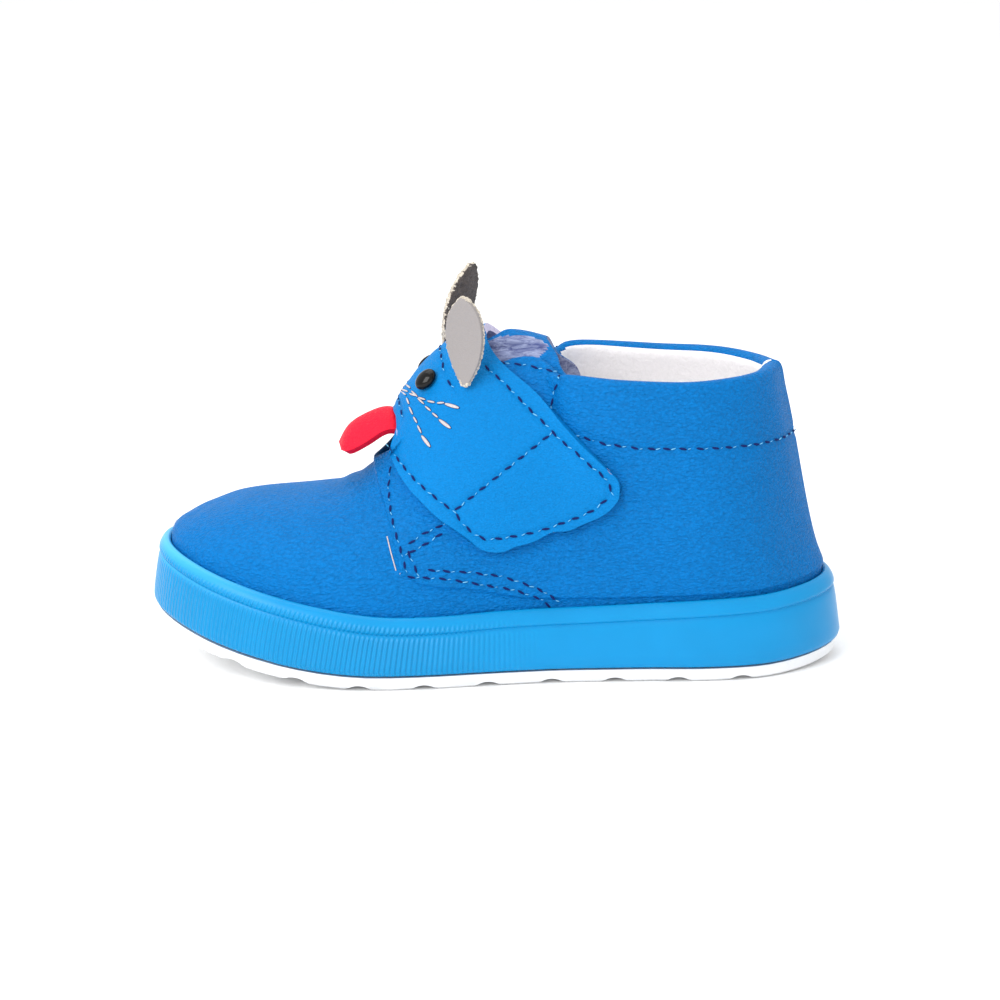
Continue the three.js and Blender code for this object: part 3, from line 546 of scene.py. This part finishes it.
def spots(tree, size, detail=3.0, rough=0.55, stretch=(1, 1, 1), distortion=0.0):
    """A soft spotted pattern whose spots have a size in metres."""
    link = tree.links.new
    where = node(tree, "ShaderNodeMapping")
    where.inputs["Scale"].default_value = stretch
    link(place_output(tree), where.inputs["Vector"])
    made = node(tree, "ShaderNodeTexNoise", scale=1 / size, detail=detail, roughness=rough)
    made.inputs["Distortion"].default_value = distortion
    link(where.outputs["Vector"], made.inputs["Vector"])
    return made.outputs["Fac"]


def cells(tree, size, stretch=(1, 1, 1)):
    """A pattern of cells whose cells have a size in metres."""
    link = tree.links.new
    where = node(tree, "ShaderNodeMapping")
    where.inputs["Scale"].default_value = stretch
    link(place_output(tree), where.inputs["Vector"])
    made = node(tree, "ShaderNodeTexVoronoi", scale=1 / size)
    link(where.outputs["Vector"], made.inputs["Vector"])
    return made.outputs["Distance"]


def mixed(tree, share, low, high):
    """A colour between two colours, by a share."""
    made = node(tree, "ShaderNodeMix")
    made.data_type = "RGBA"
    made.inputs[6].default_value = (*low, 1)
    made.inputs[7].default_value = (*high, 1)
    tree.links.new(share, made.inputs[0])
    return made.outputs[2]


def reach(tree, value, low, high, to_low=0.0, to_high=1.0):
    """Spreads a value's range over another one."""
    made = node(tree, "ShaderNodeMapRange")
    made.inputs["From Min"].default_value = low
    made.inputs["From Max"].default_value = high
    made.inputs["To Min"].default_value = to_low
    made.inputs["To Max"].default_value = to_high
    tree.links.new(value, made.inputs["Value"])
    return made.outputs["Result"]


def sum_of(tree, first, second, share):
    """The first pattern plus a share of the second."""
    made = node(tree, "ShaderNodeMath")
    made.operation = "MULTIPLY_ADD"
    tree.links.new(second, made.inputs[0])
    made.inputs[1].default_value = share
    tree.links.new(first, made.inputs[2])
    return made.outputs[0]


def bumped(tree, shader, height, distance):
    """Gives a shader the relief of a pattern, with its height in metres."""
    made = node(tree, "ShaderNodeBump")
    made.inputs["Strength"].default_value = 1.0
    made.inputs["Distance"].default_value = distance
    tree.links.new(height, made.inputs["Height"])
    tree.links.new(made.outputs["Normal"], shader.inputs["Normal"])


def set_shader(shader, **values):
    """Sets the shader's own sockets by name."""
    for name, value in values.items():
        socket = name.replace("_", " ").title().replace("Ior", "IOR")
        shader.inputs[socket].default_value = value


def darker(value, share):
    """A colour times a share."""
    return tuple(share * part for part in value)


def leather(name, base, grain, height, shade=0.8):
    """Grained leather, darker in its hollows by painted shade."""
    made, tree = material(name)
    if tree is None:
        return made
    shader = tree.nodes["Principled BSDF"]
    wide = reach(tree, spots(tree, 22 * MM, detail=2.0), 0.3, 0.7)
    pebbles = reach(tree, cells(tree, grain, stretch=(0.7, 1.0, 1.2)), 0.1, 0.75, 1, 0)
    folds = spots(tree, 1.2 * grain, rough=0.6, stretch=(0.55, 1.0, 1.4), distortion=0.9)
    relief = sum_of(tree, pebbles, reach(tree, folds, 0.3, 0.7), 1.2)
    # Painted shade: the grain's low places are mixed towards the base times shade, with a wide
    # random tone on top
    hollow_shade_and_tone = sum_of(tree, reach(tree, relief, 0.4, 1.5), wide, 0.35)
    tree.links.new(mixed(tree, reach(tree, hollow_shade_and_tone, 0.0, 1.2), darker(base, shade), base),
                   shader.inputs["Base Color"])
    bumped(tree, shader, relief, height)
    tree.links.new(reach(tree, folds, 0.3, 0.7, 0.4, 0.58), shader.inputs["Roughness"])
    set_shader(shader, specular_ior_level=0.09)
    return made


def upper_leather():
    """Leather of the upper."""
    base = tuple(colours().upper)
    return leather("Upper leather", base, sizes().grain, 0.17 * MM, shade=0.76)


def strap_leather():
    """Leather of the strap."""
    base = tuple(colours().strap)
    return leather("Strap leather", base, 0.55 * sizes().grain, 0.08 * MM, shade=0.84)


def red_leather():
    """Leather of the face's tongue."""
    base = tuple(colours().red)
    return leather("Red leather", base, 0.6 * sizes().grain, 0.06 * MM, shade=0.88)


def ear_leather():
    """Smooth side of the ears."""
    base = tuple(colours().ear)
    return leather("Ear leather", base, 0.4 * sizes().grain, 0.02 * MM, shade=0.95)


def cloth(name, light, dark, size, height, stretch):
    """Woven or brushed cloth."""
    made, tree = material(name)
    if tree is None:
        return made
    shader = tree.nodes["Principled BSDF"]
    weave = spots(tree, size, detail=4.0, rough=0.7, stretch=stretch, distortion=0.8)
    tree.links.new(mixed(tree, reach(tree, weave, 0.35, 0.62), dark, light),
                   shader.inputs["Base Color"])
    bumped(tree, shader, weave, height)
    set_shader(shader, roughness=0.9, sheen_weight=0.25, specular_ior_level=0.2)
    return made


def lining_cloth():
    """White lining of the collar."""
    light = tuple(colours().lining)
    return cloth("Lining cloth", light, darker(light, 0.93), 0.9 * MM, 0.25 * MM, (1, 1, 1))


def strap_backing():
    """Cloth under the strap."""
    light = tuple(colours().backing)
    return cloth("Strap backing", light, darker(light, 0.85), 0.8 * MM, 0.2 * MM, (1, 1, 1))


def knit_cloth():
    """Knitted lining of the tongue."""
    shade = tuple(colours().knit_shade)
    return cloth("Knit cloth", tuple(colours().knit), shade, 1.1 * MM, 0.4 * MM, (0.3, 1, 1.3))


def suede():
    """Rough side of the ears."""
    base = tuple(colours().suede)
    return cloth("Suede", base, darker(base, 0.45), 0.7 * MM, 0.3 * MM, (1, 1, 1))


def cut_edge():
    """Raw edges of the ears."""
    base = tuple(colours().cut_edge)
    return cloth("Cut edge", base, darker(base, 0.55), 0.6 * MM, 0.35 * MM, (1, 1, 1))


def cup_rubber():
    """Blue rubber of the side wall, with fine ribs along the forefoot and painted light on the
    lip's upward faces at the toe.
    """
    made, tree = material("Cup rubber")
    if tree is None:
        return made
    shader = tree.nodes["Principled BSDF"]
    base = tuple(colours().cup)
    thin = node(tree, "ShaderNodeAttribute", attribute_name="thin")
    wide = reach(tree, spots(tree, 12 * MM, detail=2.0), 0.3, 0.7)
    body = mixed(tree, wide, darker(base, 0.93), base)
    # Painted light: upward faces of the lip at the toe are mixed towards the lighter lip colour
    with_lip_light = node(tree, "ShaderNodeMix")
    with_lip_light.data_type = "RGBA"
    tree.links.new(thin.outputs["Fac"], with_lip_light.inputs[0])
    tree.links.new(body, with_lip_light.inputs[6])
    with_lip_light.inputs[7].default_value = (*colours().lip_light, 1)
    tree.links.new(with_lip_light.outputs[2], shader.inputs["Base Color"])
    along = node(tree, "ShaderNodeAttribute", attribute_name="along")
    ribbed = node(tree, "ShaderNodeAttribute", attribute_name="ribbed")
    turn = node(tree, "ShaderNodeMath")
    turn.operation = "MULTIPLY"
    turn.inputs[1].default_value = 2 * math.pi / sizes().rib
    tree.links.new(along.outputs["Fac"], turn.inputs[0])
    wave = node(tree, "ShaderNodeMath")
    wave.operation = "SINE"
    tree.links.new(turn.outputs[0], wave.inputs[0])
    ribs = node(tree, "ShaderNodeMath")
    ribs.operation = "MULTIPLY"
    tree.links.new(wave.outputs[0], ribs.inputs[0])
    tree.links.new(ribbed.outputs["Fac"], ribs.inputs[1])
    relief = sum_of(tree, ribs.outputs[0], spots(tree, 1.2 * MM), 0.1)
    bumped(tree, shader, relief, 0.13 * MM)
    set_shader(shader, roughness=0.34, specular_ior_level=0.25, subsurface_weight=0.12,
               subsurface_scale=0.003)
    shader.inputs["Subsurface Radius"].default_value = (0.4, 0.8, 1.0)
    return made


def outsole_rubber():
    """White rubber of the tread."""
    made, tree = material("Outsole rubber")
    if tree is None:
        return made
    shader = tree.nodes["Principled BSDF"]
    base = tuple(colours().outsole)
    grain = spots(tree, 0.8 * MM)
    wide = reach(tree, spots(tree, 9 * MM), 0.3, 0.7)
    tree.links.new(mixed(tree, wide, darker(base, 0.93), base), shader.inputs["Base Color"])
    bumped(tree, shader, grain, 0.05 * MM)
    set_shader(shader, roughness=0.5)
    return made


def eye_gloss():
    """Black gloss of the eyes."""
    made, tree = material("Eye gloss")
    if tree is None:
        return made
    shader = tree.nodes["Principled BSDF"]
    base = tuple(colours().eye)
    tree.links.new(mixed(tree, spots(tree, 2 * MM), darker(base, 0.6), base),
                   shader.inputs["Base Color"])
    bumped(tree, shader, spots(tree, 1.5 * MM), 0.01 * MM)
    set_shader(shader, roughness=0.15, specular_ior_level=0.2, coat_weight=0.15,
               coat_roughness=0.05)
    return made


def thread_look(name, base, rough):
    """Twisted thread."""
    made, tree = material(name)
    if tree is None:
        return made
    shader = tree.nodes["Principled BSDF"]
    twist = spots(tree, 0.25 * MM, detail=2.0)
    tree.links.new(mixed(tree, reach(tree, twist, 0.3, 0.7), darker(base, 0.7), base),
                   shader.inputs["Base Color"])
    bumped(tree, shader, twist, 0.08 * MM)
    set_shader(shader, roughness=rough, specular_ior_level=0.25)
    return made


def thread_highlight_material():
    """Painted highlights of the blue sewing thread."""
    return thread_look("Sewing thread highlight", tuple(colours().thread), 0.3)


def hole_shade_material():
    """Dark needle holes: painted shade, also used under the whiskers."""
    return thread_look("Needle hole shade", tuple(colours().hole), 0.8)


def whisker_material():
    """Pale thread of the whiskers."""
    return thread_look("Whisker thread", tuple(colours().whisker), 0.35)


# Pieces


class SHOE_OT_sole(bpy.types.Operator):
    """Makes the outsole, the rubber cup and the insole."""

    bl_idname = "shoe.sole"
    bl_label = "Sole"

    def execute(self, context):
        form = merged_form("outsole")
        outsole = new_piece("outsole_rubber", form)
        outsole.data.materials.append(outsole_rubber())
        outsole.data.set_sharp_from_angle(angle=math.radians(35))
        stands_for(outsole, "outsole_rubber", "outsole")

        form = merged_form("cup_midsole")
        hold_edges(form, 12)
        cup = subdivided(new_piece("cup_rubber", form), 2)
        self.soften(cup)
        cup.data.set_sharp_from_angle(angle=math.radians(40))
        cup.data.materials.append(cup_rubber())
        self.measure(cup)
        stands_for(cup, "cup_rubber", "cup_midsole")

        form = merged_form("insole")
        round_edges(form, 30, sizes().edge_round)
        insole = subdivided(new_piece("insole_cloth", form), 1)
        insole.data.materials.append(lining_cloth())
        stands_for(insole, "insole_cloth", "insole")
        return {"FINISHED"}

    def soften(self, cup):
        """Softens the groove and the lip on the outside of the cup, as moulded rubber has them."""
        rounds, foot = 6, 6 * MM
        form = bmesh.new()
        form.from_mesh(cup.data)
        for _ in range(rounds):
            outside = [corner for corner in form.verts
                       if outwardness(corner.co, corner.normal) > 0.2 and corner.co.z > foot]
            bmesh.ops.smooth_vert(form, verts=outside, factor=0.5,
                                  use_axis_x=True, use_axis_y=True, use_axis_z=True)
            form.normal_update()
        form.to_mesh(cup.data)
        form.free()

    def measure(self, cup):
        """Writes how far each corner lies along the outline, where the ribs are, and where painted
        light falls on the lip's upward faces at the toe.
        """
        mesh = cup.data
        surface = surface_of(cup)
        level, turns = 12 * MM, 720
        ribs_end, ribs_fade = 0.01, 0.03
        lip_end, lip_fade = -0.045, 0.025
        low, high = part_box("cup_midsole")
        centre = Vector(((low.x + high.x) / 2, MIDDLE, level))
        spread = (high.x - low.x) / (high.y - low.y)
        run = [0.0]
        last = None
        for n in range(turns + 1):
            turn = 2 * math.pi * n / turns - math.pi
            out = Vector((math.cos(turn), math.sin(turn) / spread, 0)).normalized()
            place = surface.ray_cast(centre + 0.2 * out, -out)[0]
            if last is not None:
                run.append(run[-1] + (place - last).length)
            last = place
        columns = {"along": [], "ribbed": [], "thin": []}
        for corner in mesh.vertices:
            away = corner.co - centre
            at = (math.atan2(away.y * spread, away.x) / (2 * math.pi) + 0.5) * turns
            n = min(int(at), turns - 1)
            columns["along"].append(run[n] + (at - n) * (run[n + 1] - run[n]))
            forward = clamped((ribs_end - corner.co.x) / ribs_fade)
            upright = clamped((0.5 - abs(corner.normal.z)) / 0.2)
            columns["ribbed"].append(forward * upright)
            # Painted light on the lip: upward-facing corners at the toe
            toe = clamped((lip_end - corner.co.x) / lip_fade)
            facing_up = clamped((corner.normal.z - 0.3) / 0.5)
            columns["thin"].append(toe * facing_up)
        for name, values in columns.items():
            layer = mesh.attributes.new(name, "FLOAT", "POINT")
            layer.data.foreach_set("value", values)


class SHOE_OT_upper(bpy.types.Operator):
    """Makes the leather upper with its lining, its seams and its creases."""

    bl_idname = "shoe.upper"
    bl_label = "Upper"

    def execute(self, context):
        upper = subdivided(new_piece("upper_leather", merged_form("upper")), 2, through=DRAWN)
        tucked_under(upper, bpy.data.objects["strap_leather"], 0.15 * MM)
        surface = surface_of(upper)
        lines = (QUARTER_TOP, QUARTER_DOWN, FACING_FRONT, FACING_LOW, FACING_HIGH,
                 TACK_HIGH, TACK_LOW)
        near = [seated(surface, line) for line in lines]
        far = [seated(surface, line, FAR_EYE) for line in lines]
        collar = seated_round(surface, COLLAR_SEAM)
        seams = [*near, *far, collar]
        press_in(upper, seams, sizes().seam_depth, sizes().seam_width)
        for line, depth, width in UPPER_CREASES:
            creases = [seated(surface, line), seated(surface, line, FAR_EYE)]
            press_in(upper, creases, depth * MM, width * MM)
        upper.data.materials.append(upper_leather())
        upper.data.materials.append(lining_cloth())

        def pick(place, normal):
            return OUTER if outwardness(place, normal) > -0.1 else INNER

        paint_faces(upper, pick)
        stands_for(upper, "upper_leather", "upper")
        sew("upper", seams)
        self.loose_thread(surface)
        return {"FINISHED"}

    def loose_thread(self, surface):
        """A pale thread end that shows at the front edge of the quarter."""
        form = bmesh.new()
        line = seated(surface, LOOSE_THREAD)
        for (a, normal), (b, _) in zip(line, line[1:]):
            run = b - a
            add_bead(form, (a + b) / 2, normal, run.normalized(),
                     (1.8 * run.length, 0.3 * MM, 0.3 * MM), lift=0.1 * MM)
        piece = new_piece("thread_end", form)
        piece.data.materials.append(whisker_material())
        stands_for(piece)


class SHOE_OT_tongue(bpy.types.Operator):
    """Makes the shoe's tongue with its knitted lining."""

    bl_idname = "shoe.tongue"
    bl_label = "Tongue"

    def execute(self, context):
        tongue = skin("tongue_leather", "tongue", 0.8 * sizes().edge_round)
        lift, lift_from, lift_over, lined_from = 0.8 * MM, 64 * MM, 4 * MM, 58 * MM
        lifted = []
        for corner in tongue.data.vertices:
            share = clamped((corner.co.z - lift_from) / lift_over)
            lifted.append(corner.co + Vector((0, 0, lift * share)))
        reshape(tongue, lifted)
        hollow = seated(surface_of(tongue), LINING_HOLLOW)
        press_in(tongue, [hollow], 0.9 * MM, 1.3 * MM)
        tongue.data.materials.append(upper_leather())
        tongue.data.materials.append(knit_cloth())

        def pick(place, normal):
            if over_instep(place, normal) < -0.3:
                return INNER
            patch = place.z > lined_from and within(side_view(place), LINING_PATCH)
            return INNER if patch else OUTER

        paint_faces(tongue, pick)
        stands_for(tongue, "upper_leather", "tongue")
        return {"FINISHED"}


class SHOE_OT_strap(bpy.types.Operator):
    """Makes the strap with its folded edges and its seams."""

    bl_idname = "shoe.strap"
    bl_label = "Strap"

    def execute(self, context):
        strap = skin("strap_leather", "strap", sizes().edge_round)
        self.swell(strap)
        surface = surface_of(strap)
        seams = [seated(surface, line) for line in (
            STRAP_EDGE, STRAP_CROSS, EAR_SEAM, EAR_TACK, MOUTH_SEAM)]
        seams += [seated(surface, line, FAR_EYE) for line in (EAR_SEAM, EAR_TACK, MOUTH_SEAM)]
        press_in(strap, seams, sizes().seam_depth, 0.8 * sizes().seam_width)
        layer = seated(surface, STRAP_LAYER)
        press_in(strap, [layer], 0.8 * sizes().seam_depth, 0.3 * sizes().seam_width)
        for line, depth, width in STRAP_CREASES:
            press_in(strap, [seated(surface, line)], depth * MM, width * MM)
        strap.data.materials.append(strap_leather())
        strap.data.materials.append(strap_backing())

        def pick(place, normal):
            out = over_instep(place, normal)
            far_rim = (place.y > MIDDLE - 2 * MM and place.z > 60 * MM
                       and normal.x > 0.25 and out < 0.6)
            return INNER if out < -0.65 or far_rim else OUTER

        paint_faces(strap, pick)
        stands_for(strap, "strap_leather", "strap")
        sew("strap", seams)
        self.whiskers(surface)
        return {"FINISHED"}

    def swell(self, strap):
        """Swells the edge of the strap's near end, and keeps it lying on the upper."""
        upper = surface_of(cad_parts["upper"])
        inward = Vector((0, 1, 0))
        near, near_over = MIDDLE - 4 * MM, 5 * MM
        strength, spread = 0.85, 3.4
        least, most = 0.02 * MM, 1.6 * MM
        moved = []
        for corner in strap.data.vertices:
            place = corner.co.copy()
            if place.y < near:
                x, z = side_view(place)
                share = min((near - place.y) / near_over, 1)
                push = Vector((0, 0, 0))
                for spot, (along, up) in STRAP_SWELL:
                    away = math.hypot(x / MM - spot[0], z / MM - spot[1])
                    here = strength * share * math.exp(-((away / spread) ** 2))
                    push += here * Vector((along * MM, 0, up * MM))
                if push.length > least:
                    before = upper.ray_cast(Vector((place.x, -0.1, place.z)), inward)[0]
                    place += push
                    after = upper.ray_cast(Vector((place.x, -0.1, place.z)), inward)[0]
                    if before and after and abs(after.y - before.y) < most:
                        place.y += after.y - before.y
            moved.append(place)
        reshape(strap, moved)

    def whiskers(self, surface):
        """Three whiskers on each cheek, in long stitches of pale thread, over dark beads of painted
        shade.
        """
        spans = [(0, 0.11), (0.15, 0.27), (0.31, 0.43), (0.47, 0.59), (0.63, 0.75), (0.79, 1)]
        threads = bmesh.new()
        shades = bmesh.new()
        for eye in (EYE, FAR_EYE):
            for line in WHISKERS:
                seats = seated(surface, line, eye)
                for first, last in spans:
                    a, normal = seats[int(first * (len(seats) - 1))]
                    b = seats[int(last * (len(seats) - 1))][0]
                    run = (b - a).normalized()
                    wide = (1.25 if last == 1 else 0.72) * sizes().whisker
                    long = 1.1 * (b - a).length
                    bead = (long, wide, 0.7 * sizes().whisker)
                    add_bead(threads, (a + b) / 2, normal, run, bead, slant=0.06, lift=0.1 * MM)
                    shade = (1.08 * long, wide + 0.3 * MM, 0.3 * MM)
                    add_bead(shades, (a + b) / 2, normal, run, shade, slant=0.06)
        for name, form, look in (("whiskers", threads, whisker_material()),
                                 ("whisker_shades", shades, hole_shade_material())):
            piece = new_piece(name, form)
            piece.data.materials.append(look)
            stands_for(piece)


class SHOE_OT_face(bpy.types.Operator):
    """Makes the ears, the eyes and the red tongue of the animal's face."""

    bl_idname = "shoe.face"
    bl_label = "Face"

    def execute(self, context):
        for node_name, side in (("ear_outer", -1), ("ear_inner", 1)):
            self.ear(node_name, side)
        for node_name in ("eye_outer", "eye_inner"):
            eye = subdivided(new_piece(node_name + "_gloss", merged_form(node_name)), 2)
            eye.data.materials.append(eye_gloss())
            stands_for(eye, "eye_gloss", node_name)
        red = skin("face_tongue_leather", "face_tongue", 0.6 * sizes().edge_round)
        red.data.materials.append(red_leather())
        stands_for(red, "red_leather", "face_tongue")
        return {"FINISHED"}

    def ear(self, node_name, side):
        """One ear: smooth outside, suede inside, with a raw fuzzy edge."""
        form = merged_form(node_name)
        round_edges(form, 50, 0.6 * sizes().edge_round)
        ear = subdivided(new_piece(node_name + "_leather", form), 3)
        ear.data.materials.append(ear_leather())
        ear.data.materials.append(suede())
        ear.data.materials.append(cut_edge())

        edge_on = 0.45
        lean_most, lean_from, lean_over = 1.8 * MM, 61 * MM, 21 * MM
        rim = [face.center for face in ear.data.polygons if abs(face.normal.y) < edge_on]
        middle = sum((place.x for place in rim), 0) / len(rim)
        back, front = (kdtree.KDTree(len(rim)) for _ in range(2))
        for n, place in enumerate(rim):
            (back if place.x > middle else front).insert(place, n)
        back.balance()
        front.balance()

        def pick(place, normal):
            out = side * normal.y
            if abs(out) < edge_on:
                return RIM
            fuzz = (1 + 0.8 * noise.noise(place / (0.6 * MM))) * MM
            if out > 0:
                return RIM if back.find(place)[2] < 0.45 * fuzz else OUTER
            return RIM if front.find(place)[2] < 0.9 * fuzz else INNER

        paint_faces(ear, pick)
        edge = {n for face in ear.data.polygons if face.material_index == RIM
                for n in face.vertices}
        moved = []
        for n, corner in enumerate(ear.data.vertices):
            rough = noise.noise(corner.co / (0.5 * MM)) * 0.35 * MM if n in edge else 0
            lean = lean_most * (max(corner.co.z - lean_from, 0) / lean_over) ** 1.2
            moved.append(corner.co + rough * corner.normal + Vector((lean, 0, 0)))
        reshape(ear, moved)
        stands_for(ear, "ear_leather", node_name)


class SHOE_OT_stage(bpy.types.Operator):
    """Sets the floor, the light and the camera."""

    bl_idname = "shoe.stage"
    bl_label = "Stage"

    def execute(self, context):
        scene = context.scene
        form = bmesh.new()
        bmesh.ops.create_grid(form, x_segments=1, y_segments=1, size=FLOOR_REACH)
        floor = new_piece("floor", form)
        look, tree = material("Floor")
        shader = tree.nodes["Principled BSDF"]
        base = tuple(colours().floor)
        tree.links.new(mixed(tree, spots(tree, 0.2), darker(base, 0.99), base),
                       shader.inputs["Base Color"])
        set_shader(shader, roughness=0.9, specular_ior_level=0.1)
        floor.data.materials.append(look)

        world = bpy.data.worlds.new("Soft light")
        world.use_nodes = True
        sky = world.node_tree.nodes["Background"]
        sky.inputs["Color"].default_value = (1, 1, 1, 1)
        sky.inputs["Strength"].default_value = 1.0
        scene.world = world
        scene.view_settings.view_transform = "Standard"
        for name, place, power, size in LAMPS:
            lamp = bpy.data.lights.new(name, "AREA")
            lamp.energy = power
            lamp.size = size
            holder = bpy.data.objects.new(name, lamp)
            holder.location = place
            holder.rotation_euler = (LOOK_AT - Vector(place)).to_track_quat("-Z", "Y").to_euler()
            scene.collection.objects.link(holder)

        lens = bpy.data.cameras.new("Side view")
        lens.sensor_width = SENSOR
        lens.lens = SENSOR * LENS
        camera = bpy.data.objects.new("Side view", lens)
        camera.location = EYE
        camera.rotation_euler = (math.pi / 2 - EYE_TILT, 0, 0)
        scene.collection.objects.link(camera)
        scene.camera = camera
        return {"FINISHED"}


class SHOE_PT_panel(bpy.types.Panel):
    """Lists the shoe's pieces, sizes and colours."""

    bl_label = "Shoe"
    bl_idname = "SHOE_PT_panel"
    bl_space_type = "VIEW_3D"
    bl_region_type = "UI"
    bl_category = "Shoe"

    def draw(self, context):
        column = self.layout.column()
        for operator in OPERATORS:
            column.operator(operator.bl_idname)
        for group in (context.scene.shoe_sizes, context.scene.shoe_colours):
            box = self.layout.box()
            for name in group.bl_rna.properties.keys():
                if name not in ("rna_type", "name"):
                    box.prop(group, name)


OPERATORS = (SHOE_OT_sole, SHOE_OT_strap, SHOE_OT_upper, SHOE_OT_tongue, SHOE_OT_face,
             SHOE_OT_stage)
CLASSES = (ShoeColours, ShoeSizes, *OPERATORS, SHOE_PT_panel)


def register():
    """Registers the classes and the shoe's settings."""
    for cls in CLASSES:
        bpy.utils.register_class(cls)
    bpy.types.Scene.shoe_colours = bpy.props.PointerProperty(type=ShoeColours)
    bpy.types.Scene.shoe_sizes = bpy.props.PointerProperty(type=ShoeSizes)


def unregister():
    """Removes the shoe's settings and the classes."""
    del bpy.types.Scene.shoe_sizes
    del bpy.types.Scene.shoe_colours
    for cls in reversed(CLASSES):
        bpy.utils.unregister_class(cls)


def main():
    """Dresses the shoe."""
    register()
    bpy.ops.shoe.sole()
    bpy.ops.shoe.strap()
    bpy.ops.shoe.upper()
    bpy.ops.shoe.tongue()
    bpy.ops.shoe.face()
    bpy.ops.shoe.stage()


if __name__ == "__main__":
    main()
